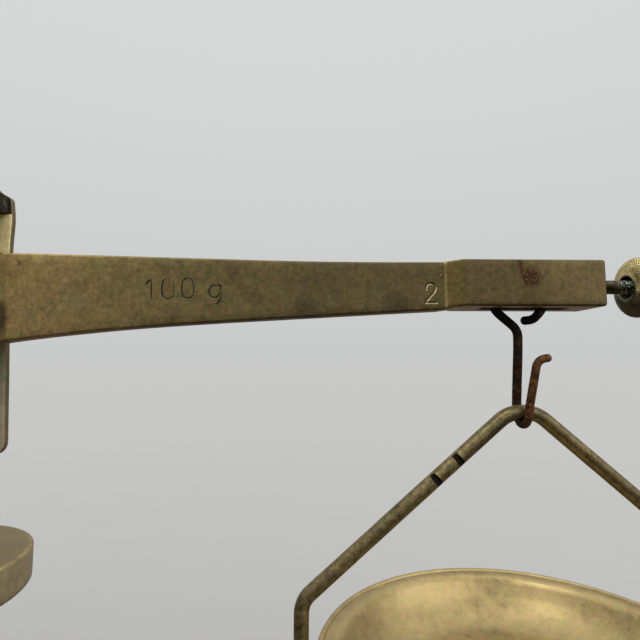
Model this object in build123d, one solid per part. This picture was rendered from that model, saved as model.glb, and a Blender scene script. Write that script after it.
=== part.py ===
from build123d import *
import math
import os

# Equal-arm column balance with two hanging pans, 100 g capacity.
# Frame: millimetres, +X along the beam towards arm 2, -Y towards the user, +Z up.
# The origin is the middle of the stand's footprint, knob included, level with the undersides of the feet.

os.makedirs("parts", exist_ok=True)

# ---- driving dimensions ------------------------------------------------
FOOT_H = 8.0                 # clear height of the feet under the base board
BASE_L, BASE_W, BASE_T = 250.0, 120.0, 20.0
BASE_TOP = FOOT_H + BASE_T   # 28
AXIS_H = 134.0               # height of the balance nut studs' axis

ARM = 120.0                  # centre knife to end pin
BEAM_T = 4.6                 # thickness of the arms
BLOCK_T = 10.5               # thickness of the end blocks
BLOCK_X0, BLOCK_X1 = 106.5, 135.2
BLOCK_Z0, BLOCK_Z1 = -4.55, 4.75
CHAMFER_X = 103.4            # where the arm's face starts to flare into the block
SLOT_X0, SLOT_X1, SLOT_W = 111.4, 129.6, 3.6
PIN_Z, PIN_R = 1.15, 1.6
KNIFE_Z = 3.0                # knife edge, a little above the hooks' contact line
KNIFE_H, KNIFE_B = 5.2, 2.5
KNIFE_L = 15.4
POINTER_TOP = 29.5

STUD_R = 1.475               # M3
STUD_END = 151.2
NUT_X, NUT_HALF, NUT_R, NUT_BORE = 145.0, 2.72, 6.32, 1.53
NUT_SINK = 2.45              # mouth of the countersink round the stud

WIRE_HOOK = 1.0              # wire radii
WIRE_BAIL = 1.5
HOOK_X = 119.65
BAIL_Z = -25.8               # centre of the bail's wire at its apex
BAIL_VIRTUAL_Z = -23.19      # where the straight legs would meet
BAIL_ANGLE = 40.65           # legs below horizontal, degrees
BAIL_HALF = 44.5
RING_R, RING_Z = 40.0, -75.0
PAN_RIM_R, PAN_T, PAN_DEPTH = 42.0, 0.8, 9.0

CHEEK_IN, CHEEK_T = 8.0, 1.5
BRIDGE_TOP, BRIDGE_UNDER = 23.0, 17.0
SCALE_SCREW_X = 4.9
FORK_BOTTOM = -35.0
CARRIER_Z0, CARRIER_Z1 = -35.0, -24.0
ROD_R = 4.0
CAP_R, CAP_TOP, CAP_T = 21.0, -53.0, 8.0
TUBE_R, TUBE_BORE = 10.0, 6.0
FLANGE_R, FLANGE_T = 27.0, 6.0

SHAFT_Z, SHAFT_R = 18.5, 3.0
CRANK, CRANK_R, CRANK_PIN = 5.0, 7.0, 1.5
KNOB_R = 11.0
LEVEL_X, LEVEL_Y = 110.0, -46.0
REAR_FOOT_Y = 46.0
FRAME_Y = 8.4                # the column's axis is this far behind the origin


# ---- helpers -----------------------------------------------------------
def up(shape):
    """Raises a piece drawn about the stud axis to its height on the stand."""
    return Location((0, 0, AXIS_H)) * shape


def cyl(axis, r, a, b, c1, c2):
    """Cylinder of radius r along an axis from a to b; c1, c2 are its other two coordinates in order."""
    body = extrude(Circle(r), b - a)
    if axis == "Z":
        return Location((c1, c2, a)) * body
    if axis == "Y":
        return Location((c1, a, c2), (-90, 0, 0)) * body
    return Location((a, c1, c2), (0, 90, 0)) * body


def block(x0, x1, y0, y1, z0, z1):
    return Location(((x0 + x1) / 2, (y0 + y1) / 2, (z0 + z1) / 2)) * Box(x1 - x0, y1 - y0, z1 - z0)


def wire_piece(points, radii, r):
    """Round wire of radius r bent through the points, with the given centre-line radius at each inner corner."""
    pts = [Vector(*p) for p in points]
    edges, here = [], pts[0]
    for i in range(1, len(pts) - 1):
        a = (pts[i - 1] - pts[i]).normalized()
        b = (pts[i + 1] - pts[i]).normalized()
        half = math.acos(max(-1.0, min(1.0, a.dot(b)))) / 2
        t = radii[i - 1] / math.tan(half)
        start, end = pts[i] + a * t, pts[i] + b * t
        centre = pts[i] + (a + b).normalized() * (radii[i - 1] / math.sin(half))
        mid = centre + (pts[i] - centre).normalized() * radii[i - 1]
        if (start - here).length > 1e-4:
            edges.append(Edge.make_line(here, start))
        edges.append(Edge.make_three_point_arc(start, mid, end))
        here = end
    edges.append(Edge.make_line(here, pts[-1]))
    path = Wire(edges)
    return sweep(Plane(origin=path @ 0, z_dir=path % 0) * Circle(r), path=path)


def revolve_z(profile, cx=0.0, cy=0.0, z=0.0):
    """Turned piece from an (r, z) outline."""
    face = make_face(Plane.XZ * Polyline(*profile, close=True))
    return Location((cx, cy, z)) * revolve(face, Axis.Z, 360)


def write(shape, node):
    export_step(Location((0, FRAME_Y, 0)) * shape, "parts/" + node + ".step")


# ---- beam --------------------------------------------------------------
def beam():
    lower = [(104.0, -5.02), (91.3, -5.69), (74.6, -6.67), (58.0, -7.64), (41.8, -8.79),
             (29.7, -9.97), (21.7, -10.9), (14.0, -12.0), (0.0, -13.3)]
    left_lower = [(-x, z) for x, z in reversed(lower[:-1])]
    hump_r, hump_c = 33.15, -22.65
    hump = [(hump_r * math.sin(math.radians(a)), hump_c + hump_r * math.cos(math.radians(a)))
            for a in (-30.0, 0.0, 30.0)]
    top = [(104.0, 4.73), (90.0, 4.66), (74.7, 4.76), (54.8, 5.2), (35.1, 5.68), (hump[2][0], 6.06)]
    line = [
        Polyline((-CHAMFER_X - 2.6, 4.74), (-104.0, 4.73)),
        Spline(*[(-x, z) for x, z in top]),
        ThreePointArc(hump[0], hump[1], hump[2]),
        Spline(*reversed(top)),
        Polyline((104.0, 4.73), (CHAMFER_X + 2.6, 4.74), (CHAMFER_X + 2.6, -4.9), (104.0, -5.02)),
        Spline(*(lower + left_lower)),
        Polyline((-104.0, -5.02), (-CHAMFER_X - 2.6, -4.9), (-CHAMFER_X - 2.6, 4.74)),
    ]
    line[1] = Spline(*[(-x, z) for x, z in top[:-1]], (hump[0][0], hump[0][1]))
    line[3] = Spline((hump[2][0], hump[2][1]), *list(reversed(top[:-1])))
    web = extrude(make_face(Plane.XZ * Curve(line)), BEAM_T / 2, both=True)
    plan = [(CHAMFER_X, -BEAM_T / 2), (BLOCK_X0, -BLOCK_T / 2), (BLOCK_X1, -BLOCK_T / 2),
            (BLOCK_X1, BLOCK_T / 2), (BLOCK_X0, BLOCK_T / 2), (CHAMFER_X, BEAM_T / 2)]
    end = Location((0, 0, BLOCK_Z0)) * extrude(make_face(Polyline(*plan, close=True)), BLOCK_Z1 - BLOCK_Z0)
    end = end - block(SLOT_X0, SLOT_X1, -SLOT_W / 2, SLOT_W / 2, -10, 10)
    rim = end.edges().filter_by(Axis.X).filter_by(lambda e: abs(abs(e.center().Y) - BLOCK_T / 2) < 0.01)
    end = fillet(rim, 0.4)
    end = end - cyl("Y", PIN_R, -10, 10, ARM, PIN_Z)
    end = end - cyl("X", STUD_R, BLOCK_X1 - 5.0, BLOCK_X1 + 1, 0, 0)
    body = web + end + mirror(end, about=Plane.YZ)
    body = body - knife()
    body = body - cyl("Z", 1.0, 8.6, 12.0, 0, 0)
    return body


def knife():
    tri = make_face(Plane.XZ * Polyline((0, KNIFE_Z), (KNIFE_B, KNIFE_Z + KNIFE_H), (-KNIFE_B, KNIFE_Z + KNIFE_H), close=True))
    return extrude(tri, KNIFE_L / 2, both=True)


def pointer():
    prof = [(0, 8.6), (1.0, 8.6), (1.0, 11.2), (1.25, 11.2), (1.25, 12.4), (0.85, 13.2), (0.32, POINTER_TOP), (0, POINTER_TOP)]
    return revolve_z(prof)


def balance_nut():
    """Cushion-shaped nut: both faces swell out and run into the rim in one curve."""
    outline = []
    n = 12
    s0 = (1 - (NUT_SINK / NUT_R) ** 2.5) ** 0.4
    for i in range(2 * n + 1):
        u = math.sin(math.radians(90.0 * (i - n) / n)) * s0
        outline.append((NUT_X + NUT_HALF * u, NUT_R * (1 - abs(u) ** 2.5) ** 0.4))
    outline += [(NUT_X + NUT_HALF * s0 - 0.92, NUT_BORE), (NUT_X - NUT_HALF * s0 + 0.92, NUT_BORE)]
    face = make_face(Plane.XZ * Polyline(*outline, close=True))
    return revolve(face, Axis.X, 360)


def hook():
    cx, cz, r = 119.2, -1.45, 5.4
    # end of the eye, round over the pin, down the shank, round under the bail and up the front leg
    start = (cx + 1.75, 0, -7.1)
    ring = [start]
    ang = [-18, 54, 126, 198]
    k = r / math.cos(math.radians(36))
    for a in ang:
        ring.append((cx + k * math.cos(math.radians(a)), 0, cz + k * math.sin(math.radians(a))))
    ring += [(119.2, 0, -8.75), (119.25, 0.1, -13.0), (HOOK_X, 2.55, -23.3),
             (HOOK_X, 2.55, BAIL_Z - 2.55), (HOOK_X, -2.55, BAIL_Z - 2.55),
             (119.95, -2.75, -24.2), (121.45, -4.0, -15.2), (124.2, -3.8, -14.75)]
    radii = [r - 0.02] * 4 + [2.0, 12.0, 6.0, 2.54, 2.54, 3.0, 1.9]
    return wire_piece(ring, radii, WIRE_HOOK)


def bail():
    c1 = BAIL_VIRTUAL_Z - BAIL_HALF * math.tan(math.radians(BAIL_ANGLE))
    apex_r = (BAIL_VIRTUAL_Z - BAIL_Z) / (1 / math.cos(math.radians(BAIL_ANGLE)) - 1)
    h = BAIL_HALF
    pts = [(-RING_R + 0.5, RING_Z), (-h, RING_Z), (-h, c1), (0, BAIL_VIRTUAL_Z), (h, c1), (h, RING_Z), (RING_R - 0.5, RING_Z)]
    arch = wire_piece([(HOOK_X + x, 0, z) for x, z in pts], [2.4, 5.0, apex_r, 5.0, 2.4], WIRE_BAIL)
    ring = Location((HOOK_X, 0, RING_Z)) * Torus(RING_R, WIRE_BAIL)
    return arch + ring


def pan():
    rim, t, d = PAN_RIM_R, PAN_T, PAN_DEPTH
    z = RING_Z + WIRE_BAIL
    outer = [(rim, z), (37.9, z), (37.2, z - 1.2), (34.0, z - 5.6), (29.5, z - d + 0.7), (26.0, z - d)]
    inner = [(25.6, z - d + t), (29.0, z - d + t + 0.75), (33.3, z - 5.0), (36.5, z - 0.6), (37.3, z + t), (rim, z + t)]
    prof = [(0, z - d)] + list(reversed(outer)) + list(reversed(inner)) + [(0, z - d + t)]
    return revolve_z(prof, HOOK_X)


# ---- fork and lift -----------------------------------------------------
def fork():
    """Two cheeks joined over the beam by a thick bridge whose top rises in a hollow curve to the dial's seat."""
    yo, yi = CHEEK_IN + CHEEK_T, CHEEK_IN
    u = block(-20, 20, -yo, yo, FORK_BOTTOM, BRIDGE_TOP) - block(-25, 25, -yi, yi, FORK_BOTTOM - 5, BRIDGE_UNDER)
    side = [(7.0, BRIDGE_TOP + 1), (7.0, BRIDGE_TOP), (7.4, 22.85), (7.85, 22.4), (8.5, 21.8), (9.15, 21.35), (9.7, 21.05), (10.3, 20.8), (10.65, 20.5), (10.85, 20.0),
            (11.0, 18.7), (11.3, 15.5), (11.12, 9.5), (11.5, -12.0), (12.36, -32.3), (11.2, -34.2), (9.6, FORK_BOTTOM - 0.5)]
    outline = side + [(-x, z) for x, z in reversed(side)]
    u = u & extrude(make_face(Plane.XZ * Polyline(*outline, close=True)), 30, both=True)
    for s in (-1, 1):                       # the bridge's ends stand back from the cheeks' edges
        a, b = sorted((s * 10.45, s * 20))
        u = u - block(a, b, -yi, yi, BRIDGE_UNDER - 1, BRIDGE_TOP + 1)
    u = u - block(-3.8, 3.8, -1.8, 1.6, 15, 25)
    for x in (-6.5, 6.5):
        u = u - cyl("Y", 1.25, -12, 12, x, -29.5)
    for x in (-SCALE_SCREW_X, SCALE_SCREW_X):
        u = u - cyl("Z", 0.8, BRIDGE_TOP - 4.5, BRIDGE_TOP + 1, x, 5.2)
    return u


def carrier():
    c = block(-10.4, 10.4, -CHEEK_IN, CHEEK_IN, CARRIER_Z0, CARRIER_Z1)
    c = chamfer(c.edges().filter_by(Axis.Z), 0.6)
    c = c - cyl("Z", ROD_R, CARRIER_Z0 - 1, CARRIER_Z0 + 8.0, 0, 0)
    for x in (-6.5, 6.5):
        for s in (-1, 1):
            a, b = sorted((s * (CHEEK_IN + 1), s * (CHEEK_IN - 2.6)))
            c = c - cyl("Y", 1.25, a, b, x, -29.5)
    return c


def fork_screws():
    out = []
    for x in (-6.5, 6.5):
        for s in (-1, 1):
            y0, y1, y2 = CHEEK_IN - 2.6, CHEEK_IN + CHEEK_T, CHEEK_IN + CHEEK_T + 1.5
            a, b = sorted((s * y0, s * y1))
            shank = cyl("Y", 1.25, a, b, x, -29.5)
            a, b = sorted((s * y1, s * y2))
            head = cyl("Y", 2.3, a, b, x, -29.5)
            a, b = sorted((s * (y2 - 0.7), s * (y2 + 1)))
            head = head - block(x - 3, x + 3, a, b, -29.5 - 0.35, -29.5 + 0.35)
            out.append(shank + head)
    return Compound(children=out)


def bearing(sign):
    """Hardened bearing block with a shallow vee that carries one end of the knife edge."""
    a, b = sorted((sign * 4.2, sign * CHEEK_IN))
    base = block(-4.0, 4.0, a, b, -3.0, KNIFE_Z + 1.6)
    vee = make_face(Plane.XZ * Polyline((0, KNIFE_Z), (3.4, KNIFE_Z + 2.4), (-3.4, KNIFE_Z + 2.4), close=True))
    return base - extrude(vee, 30, both=True)


def scale_plate():
    wall = make_face(Plane.XZ * Polyline((-6.8, BRIDGE_TOP), (6.8, BRIDGE_TOP), (11, 25.0), (11, 27.0), (7.6, 29.6), (3.9, 31.1), (0, 31.6),
                                         (-3.9, 31.1), (-7.6, 29.6), (-11, 27.0), (-11, 25.0), close=True))
    up_part = Location((0, 2.9, 0)) * extrude(wall, 1.0)
    foot = block(-6.8, 6.8, 2.6, 7.6, BRIDGE_TOP, BRIDGE_TOP + 1.0)
    p = up_part + foot
    for x in (-SCALE_SCREW_X, SCALE_SCREW_X):
        p = p - cyl("Z", 0.8, 15, 25, x, 5.2)
    return p


def scale_screws():
    out = []
    for x in (-SCALE_SCREW_X, SCALE_SCREW_X):
        z = BRIDGE_TOP + 1.0
        s = cyl("Z", 0.8, BRIDGE_TOP - 4.5, z, x, 5.2) + cyl("Z", 1.5, z, z + 1.1, x, 5.2)
        out.append(s - block(x - 2, x + 2, 5.2 - 0.25, 5.2 + 0.25, z + 0.55, z + 2))
    return Compound(children=out)


YOKE_TOP = 26.0
YOKE_BOTTOM = SHAFT_Z + CRANK / 2 - 1.85 - 1.6


def lift_rod():
    return cyl("Z", ROD_R, YOKE_TOP - 3.0, AXIS_H + CARRIER_Z0 + 8.0, 0, 0)


def lift_yoke():
    y = block(-7.0, 9.0, -3.9, 3.9, YOKE_BOTTOM, YOKE_TOP)
    y = y + cyl("Z", 5.4, YOKE_BOTTOM, YOKE_TOP, 0, 0) & block(-20, 20, -3.9, 3.9, 0, 60)
    zc = SHAFT_Z + CRANK / 2
    y = y - block(2.2, 7.1, -10, 10, zc - 1.85, zc + 1.85)
    pocket = cyl("Z", ROD_R, YOKE_TOP - 3.0, YOKE_TOP + 5, 0, 0)
    return y - pocket


# ---- stand -------------------------------------------------------------
def base_board():
    b = block(-BASE_L / 2, BASE_L / 2, -BASE_W / 2, BASE_W / 2, FOOT_H, BASE_TOP)
    b = fillet(b.edges().filter_by(Axis.Z), 6.0)
    b = chamfer(b.faces().sort_by(Axis.Z)[-1].edges(), 3.0)
    b = chamfer(b.faces().sort_by(Axis.Z)[0].edges(), 0.8)
    b = b - cyl("Z", 11.5, SHAFT_Z - CRANK_R - 0.6, BASE_TOP + 5, 0, 0)
    b = b - cyl("Y", 4.5, -BASE_W / 2 - 5, -9.0, 0, SHAFT_Z)
    for sx in (-1, 1):
        b = b - cyl("Z", 5.0, FOOT_H - 5, BASE_TOP - 3.0, sx * LEVEL_X, LEVEL_Y)
    b = b - cyl("Z", 3.0, FOOT_H - 5, 20.0, 0, REAR_FOOT_Y)
    for i in range(3):
        a = math.radians(90 + 120 * i)
        b = b - cyl("Z", 1.5, 16.0, BASE_TOP + 1, 20 * math.cos(a), 20 * math.sin(a))
    return b


def column_flange():
    z = BASE_TOP
    prof = [(TUBE_BORE, z), (FLANGE_R, z), (FLANGE_R, z + 3.2), (FLANGE_R - 1.6, z + 4.6), (15.6, z + 5.2), (14.2, z + 6.4),
            (13.6, z + 9.0), (TUBE_R, z + 9.6), (TUBE_R, z + 3.0), (TUBE_BORE, z + 3.0)]
    f = revolve_z(prof)
    for i in range(3):
        a = math.radians(90 + 120 * i)
        x, y = 20 * math.cos(a), 20 * math.sin(a)
        f = f - cyl("Z", 1.5, z - 1, z + 9, x, y)
        f = f - cyl("Z", 3.0, z + 3.4, z + 9, x, y)
    return f


def flange_screws():
    out = []
    z = BASE_TOP
    for i in range(3):
        a = math.radians(90 + 120 * i)
        x, y = 20 * math.cos(a), 20 * math.sin(a)
        s = cyl("Z", 1.5, 16.0, z + 3.4, x, y) + cyl("Z", 2.7, z + 3.4, z + 5.6, x, y)
        out.append(s - block(x - 4, x + 4, y - 0.4, y + 0.4, z + 4.8, z + 7))
    return Compound(children=out)


def column_tube():
    z0, z1 = BASE_TOP + 3.0, AXIS_H + CAP_TOP - CAP_T + 4.0
    return cyl("Z", TUBE_R, z0, z1, 0, 0) - cyl("Z", TUBE_BORE, z0 - 1, z1 + 1, 0, 0)


def column_cap():
    t = AXIS_H + CAP_TOP
    bore = ROD_R + 0.06
    prof = [(bore, t), (CAP_R - 0.6, t), (CAP_R - 0.18, t - 0.18), (CAP_R, t - 0.6), (CAP_R, t - 6.2), (CAP_R - 1.0, t - 7.2),
            (14.8, t - 7.9), (13.4, t - 9.6), (12.6, t - 12.0), (TUBE_R, t - 12.4), (TUBE_R, t - CAP_T + 4.0), (bore, t - CAP_T + 4.0)]
    return revolve_z(prof)


def level_insert(sign):
    x = sign * LEVEL_X
    return cyl("Z", 5.0, FOOT_H, BASE_TOP - 3.0, x, LEVEL_Y) - cyl("Z", 3.06, FOOT_H - 1, BASE_TOP - 4.0, x, LEVEL_Y)


def level_screw(sign):
    x = sign * LEVEL_X
    head = Location((x, LEVEL_Y, 0)) * extrude(Circle(9.0), 5.2)
    head = chamfer(head.edges(), 0.8)
    return head + cyl("Z", 3.0, 5.2, 22.0, x, LEVEL_Y)


def rear_foot():
    prof = [(0, 0), (7.6, 0), (8.6, 1.2), (9.0, 3.2), (8.0, 5.8), (6.6, 6.8), (6.6, FOOT_H), (3.0, FOOT_H), (3.0, 20.0), (0, 20.0)]
    return revolve_z(prof, 0, REAR_FOOT_Y)


def shaft_bush():
    f = -BASE_W / 2
    b = cyl("Y", 4.5, f, -11.8, 0, SHAFT_Z) + cyl("Y", 7.6, f - 1.5, f, 0, SHAFT_Z)
    return b - cyl("Y", SHAFT_R + 0.06, f - 5, 0, 0, SHAFT_Z)


def control_shaft():
    f = -BASE_W / 2
    s = cyl("Y", SHAFT_R, f - 14.0, -8.0, 0, SHAFT_Z) + cyl("Y", CRANK_R, -8.0, -4.5, 0, SHAFT_Z)
    a = math.radians(30)
    px, pz = CRANK * math.cos(a), SHAFT_Z + CRANK * math.sin(a)
    return s - cyl("Y", CRANK_PIN, -7.5, 0, px, pz)


def crank_pin():
    a = math.radians(30)
    return cyl("Y", CRANK_PIN, -7.5, 2.0, CRANK * math.cos(a), SHAFT_Z + CRANK * math.sin(a))


def control_knob():
    f = -BASE_W / 2 - 2.2
    prof = [(0, 0), (5.2, 0), (5.2, 3.0), (KNOB_R - 1.4, 4.6), (KNOB_R, 5.8), (KNOB_R, 11.6), (KNOB_R - 1.2, 13.0), (5.0, 14.4), (0, 14.6)]
    face = make_face(Plane.XY * Polyline(*[(r, -z) for r, z in prof], close=True))
    k = Location((0, f, SHAFT_Z)) * revolve(face, Axis.Y, 360)
    return k - cyl("Y", SHAFT_R, -BASE_W / 2 - 14.0, f + 1, 0, SHAFT_Z)


# ---- write every node --------------------------------------------------
write(base_board(), "base_board")
write(rear_foot(), "rear_foot")
write(level_screw(-1), "levelling_screw_left")
write(level_screw(1), "levelling_screw_right")
write(level_insert(-1), "levelling_insert_left")
write(level_insert(1), "levelling_insert_right")
write(column_flange(), "column_flange")
write(flange_screws(), "flange_screws")
write(column_tube(), "column_tube")
write(column_cap(), "column_cap")
write(shaft_bush(), "shaft_bush")
write(control_shaft(), "control_shaft")
write(crank_pin(), "crank_pin")
write(control_knob(), "control_knob")
write(lift_rod(), "lift_rod")
write(lift_yoke(), "lift_yoke")
write(up(carrier()), "fork_carrier")
write(up(fork()), "fork")
write(up(fork_screws()), "fork_screws")
write(up(bearing(-1)), "bearing_front")
write(up(bearing(1)), "bearing_rear")
write(up(scale_plate()), "scale_plate")
write(up(scale_screws()), "scale_screws")
write(up(beam()), "beam")
write(up(knife()), "centre_knife")
write(up(pointer()), "pointer")

right = {
    "end_pin": cyl("Y", PIN_R, -BLOCK_T / 2, BLOCK_T / 2, ARM, PIN_Z),
    "stud": cyl("X", STUD_R, BLOCK_X1 - 5.0, STUD_END, 0, 0),
    "balance_nut": balance_nut(),
    "hook": hook(),
    "bail": bail(),
    "pan": pan(),
}
for name, shape in right.items():
    write(up(shape), name + "_right")
    write(up(mirror(shape, about=Plane.YZ)), name + "_left")
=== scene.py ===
import bpy, bmesh, math
from mathutils import Vector, Matrix, noise


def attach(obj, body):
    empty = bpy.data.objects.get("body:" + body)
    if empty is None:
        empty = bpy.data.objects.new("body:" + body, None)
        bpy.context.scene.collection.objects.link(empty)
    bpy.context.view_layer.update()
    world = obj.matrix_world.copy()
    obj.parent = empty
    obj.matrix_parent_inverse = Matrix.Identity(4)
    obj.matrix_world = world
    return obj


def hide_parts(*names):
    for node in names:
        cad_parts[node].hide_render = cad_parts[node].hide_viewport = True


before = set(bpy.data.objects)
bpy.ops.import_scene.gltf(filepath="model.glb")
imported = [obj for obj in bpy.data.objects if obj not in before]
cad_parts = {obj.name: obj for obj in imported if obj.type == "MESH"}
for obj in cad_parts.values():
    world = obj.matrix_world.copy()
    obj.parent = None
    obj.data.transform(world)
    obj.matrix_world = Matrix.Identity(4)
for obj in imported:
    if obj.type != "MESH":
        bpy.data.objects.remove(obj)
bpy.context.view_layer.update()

# ------------------------------------------------------------------ sizes
# Millimetres about the column's axis and the balance nuts' axis; V() turns them into the frame's metres.
MM = 0.001
CY, CZ = 8.4, 134.0
BZ = -134.0                      # height of the table in those terms
ARM = 120.0
HOOK_X = 119.65
BAIL_Z, BAIL_VZ, BAIL_ANGLE, BAIL_HALF = -25.8, -23.19, math.radians(40.65), 44.5
RING_R, RING_Z = 40.0, -75.0
PIN_Z = 1.15


def V(x, y, z):
    return Vector((x * MM, (y + CY) * MM, (z + CZ) * MM))


# ------------------------------------------------------------------ mesh helpers
def put(name, me, mat, body, replaces=(), sharp=32.0):
    me.validate()
    me.update()
    for p in me.polygons:
        p.use_smooth = True
    if sharp is not None:
        me.set_sharp_from_angle(angle=math.radians(sharp))
    ob = bpy.data.objects.new(name, me)
    bpy.context.scene.collection.objects.link(ob)
    ob.data.materials.clear()
    ob.data.materials.append(mat)
    if body:
        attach(ob, body)
        if replaces:
            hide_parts(*replaces)
    return ob


def raw_mesh(name, verts, faces):
    me = bpy.data.meshes.new(name)
    me.from_pydata([tuple(V(*v)) for v in verts], [], faces)
    me.validate()
    bm = bmesh.new()
    bm.from_mesh(me)
    bmesh.ops.remove_doubles(bm, verts=bm.verts, dist=1e-7)
    bmesh.ops.recalc_face_normals(bm, faces=bm.faces)
    bm.to_mesh(me)
    bm.free()
    return me


def rings_mesh(name, rings, closed_path=False, cap=True):
    """Skins a list of equal-length closed rings of (x, y, z)."""
    n, m = len(rings), len(rings[0])
    verts = [p for r in rings for p in r]
    faces = []
    for i in range(n if closed_path else n - 1):
        a, b = i * m, ((i + 1) % n) * m
        for j in range(m):
            k = (j + 1) % m
            faces.append((a + j, a + k, b + k, b + j))
    if cap and not closed_path:
        faces.append(tuple(range(m)))
        faces.append(tuple(range((n - 1) * m, n * m)))
    return raw_mesh(name, verts, faces)


def lathe_mesh(name, profile, axis="Z", at=(0, 0), seg=96, ripple=None):
    """Turned piece. profile is (radius, position along the axis); at is the other two coordinates of the axis."""
    rings = []
    for r, h in profile:
        ring = []
        for j in range(seg):
            a = 2 * math.pi * j / seg
            rr = max(r, 1e-4)
            if ripple:
                rr = max(ripple(rr, h, a), 1e-4)
            c, s = rr * math.cos(a), rr * math.sin(a)
            if axis == "Z":
                ring.append((at[0] + c, at[1] + s, h))
            elif axis == "X":
                ring.append((h, at[0] + c, at[1] + s))
            else:
                ring.append((at[0] + c, h, at[1] + s))
        rings.append(ring)
    first, last = profile[0], profile[-1]
    closed = abs(first[0] - last[0]) < 1e-6 and abs(first[1] - last[1]) < 1e-6
    if closed:
        return rings_mesh(name, rings[:-1], closed_path=True)
    return rings_mesh(name, rings, cap=(first[0] > 1e-3 or last[0] > 1e-3))


def bent_path(points, radii, step=7.0, line=1.5):
    """Points along straight runs joined by tangent arcs."""
    pts = [Vector(p) for p in points]
    out = [pts[0].copy()]

    def run(b):
        a = out[-1].copy()
        n = max(1, int((b - a).length / line))
        for i in range(1, n + 1):
            out.append(a.lerp(b, i / n))

    for i in range(1, len(pts) - 1):
        a = (pts[i - 1] - pts[i]).normalized()
        b = (pts[i + 1] - pts[i]).normalized()
        half = math.acos(max(-1, min(1, a.dot(b)))) / 2
        r = radii[i - 1]
        t = r / math.tan(half)
        start, end = pts[i] + a * t, pts[i] + b * t
        centre = pts[i] + (a + b).normalized() * (r / math.sin(half))
        if (start - out[-1]).length > 1e-4:
            run(start)
        u, w = start - centre, end - centre
        ang = u.angle(w)
        n = max(2, int(math.degrees(ang) / step))
        axis = u.cross(w).normalized()
        for k in range(1, n + 1):
            out.append(centre + Matrix.Rotation(ang * k / n, 3, axis) @ u)
    run(pts[-1])
    return out


def tube_mesh(name, path, r, seg=24, ends=("round", "round"), wobble=0.0, seed=0.0, closed=False):
    n = len(path)
    rad = r if isinstance(r, list) else [r] * n
    tang = []
    for i in range(n):
        if closed:
            t = path[(i + 1) % n] - path[i - 1]
        else:
            t = path[min(i + 1, n - 1)] - path[max(i - 1, 0)]
        tang.append(t.normalized())
    up = Vector((0, 1, 0)) if abs(tang[0].y) < 0.9 else Vector((1, 0, 0))
    nrm = (up - tang[0] * up.dot(tang[0])).normalized()
    frames = []
    for i in range(n):
        if i:
            q = tang[i - 1].rotation_difference(tang[i])
            nrm = q @ nrm
            nrm = (nrm - tang[i] * nrm.dot(tang[i])).normalized()
        frames.append((path[i], tang[i], nrm.copy(), tang[i].cross(nrm)))

    def ring(c, u, v, rr, key):
        out = []
        for j in range(seg):
            a = 2 * math.pi * j / seg
            k = rr
            if wobble:
                k *= 1 + wobble * noise.noise(Vector((key * 0.35 + seed, math.cos(a) * 0.8, math.sin(a) * 0.8)))
            out.append(tuple(c + u * (k * math.cos(a)) + v * (k * math.sin(a))))
        return out

    rings = []
    if not closed and ends[0] == "round":
        c, t, u, v = frames[0]
        r = rad[0]
        for k in range(1, 6):
            a = math.radians(90 - 18 * k + 18)
            rings.append(ring(c - t * (r * math.sin(a) * 0.8), u, v, max(r * math.cos(a), 1e-3), -1))
    s = 0.0
    for i, (c, t, u, v) in enumerate(frames):
        if i:
            s += (path[i] - path[i - 1]).length
        rings.append(ring(c, u, v, rad[i], s))
    if not closed and ends[1] == "round":
        c, t, u, v = frames[-1]
        r = rad[-1]
        for k in range(1, 6):
            a = math.radians(18 * k)
            rings.append(ring(c + t * (r * math.sin(a) * 0.8), u, v, max(r * math.cos(a), 1e-3), s))
    return rings_mesh(name, rings, closed_path=closed)


def join(name, meshes):
    bm = bmesh.new()
    for me in meshes:
        bm.from_mesh(me)
    out = bpy.data.meshes.new(name)
    bm.to_mesh(out)
    bm.free()
    return out


def carve(me, cutters, op="DIFFERENCE"):
    """Boolean of a mesh with cutter meshes, returned as a new mesh."""
    ob = bpy.data.objects.new("tmp_target", me)
    bpy.context.scene.collection.objects.link(ob)
    tmp = []
    for i, c in enumerate(cutters):
        co = bpy.data.objects.new("tmp_cut%d" % i, c)
        bpy.context.scene.collection.objects.link(co)
        co.hide_render = True
        m = ob.modifiers.new("b%d" % i, "BOOLEAN")
        m.operation = op
        m.solver = "EXACT"
        m.object = co
        tmp.append(co)
    dg = bpy.context.evaluated_depsgraph_get()
    out = bpy.data.meshes.new_from_object(ob.evaluated_get(dg))
    for o in tmp + [ob]:
        bpy.data.objects.remove(o)
    return out


def box_mesh(x0, x1, y0, y1, z0, z1):
    v = [(x, y, z) for x in (x0, x1) for y in (y0, y1) for z in (z0, z1)]
    f = [(0, 1, 3, 2), (4, 6, 7, 5), (0, 4, 5, 1), (2, 3, 7, 6), (0, 2, 6, 4), (1, 5, 7, 3)]
    return raw_mesh("box", v, f)


def bevelled(me, width, segments=3, angle=30):
    ob = bpy.data.objects.new("tmp_bevel", me)
    bpy.context.scene.collection.objects.link(ob)
    m = ob.modifiers.new("bv", "BEVEL")
    m.width = width * MM
    m.segments = segments
    m.limit_method = "ANGLE"
    m.angle_limit = math.radians(angle)
    dg = bpy.context.evaluated_depsgraph_get()
    out = bpy.data.meshes.new_from_object(ob.evaluated_get(dg))
    bpy.data.objects.remove(ob)
    return out


def mirrored(me, name):
    out = me.copy()
    out.name = name
    bm = bmesh.new()
    bm.from_mesh(out)
    for v in bm.verts:
        v.co.x = -v.co.x
    bmesh.ops.reverse_faces(bm, faces=bm.faces)
    bm.to_mesh(out)
    bm.free()
    return out


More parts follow.
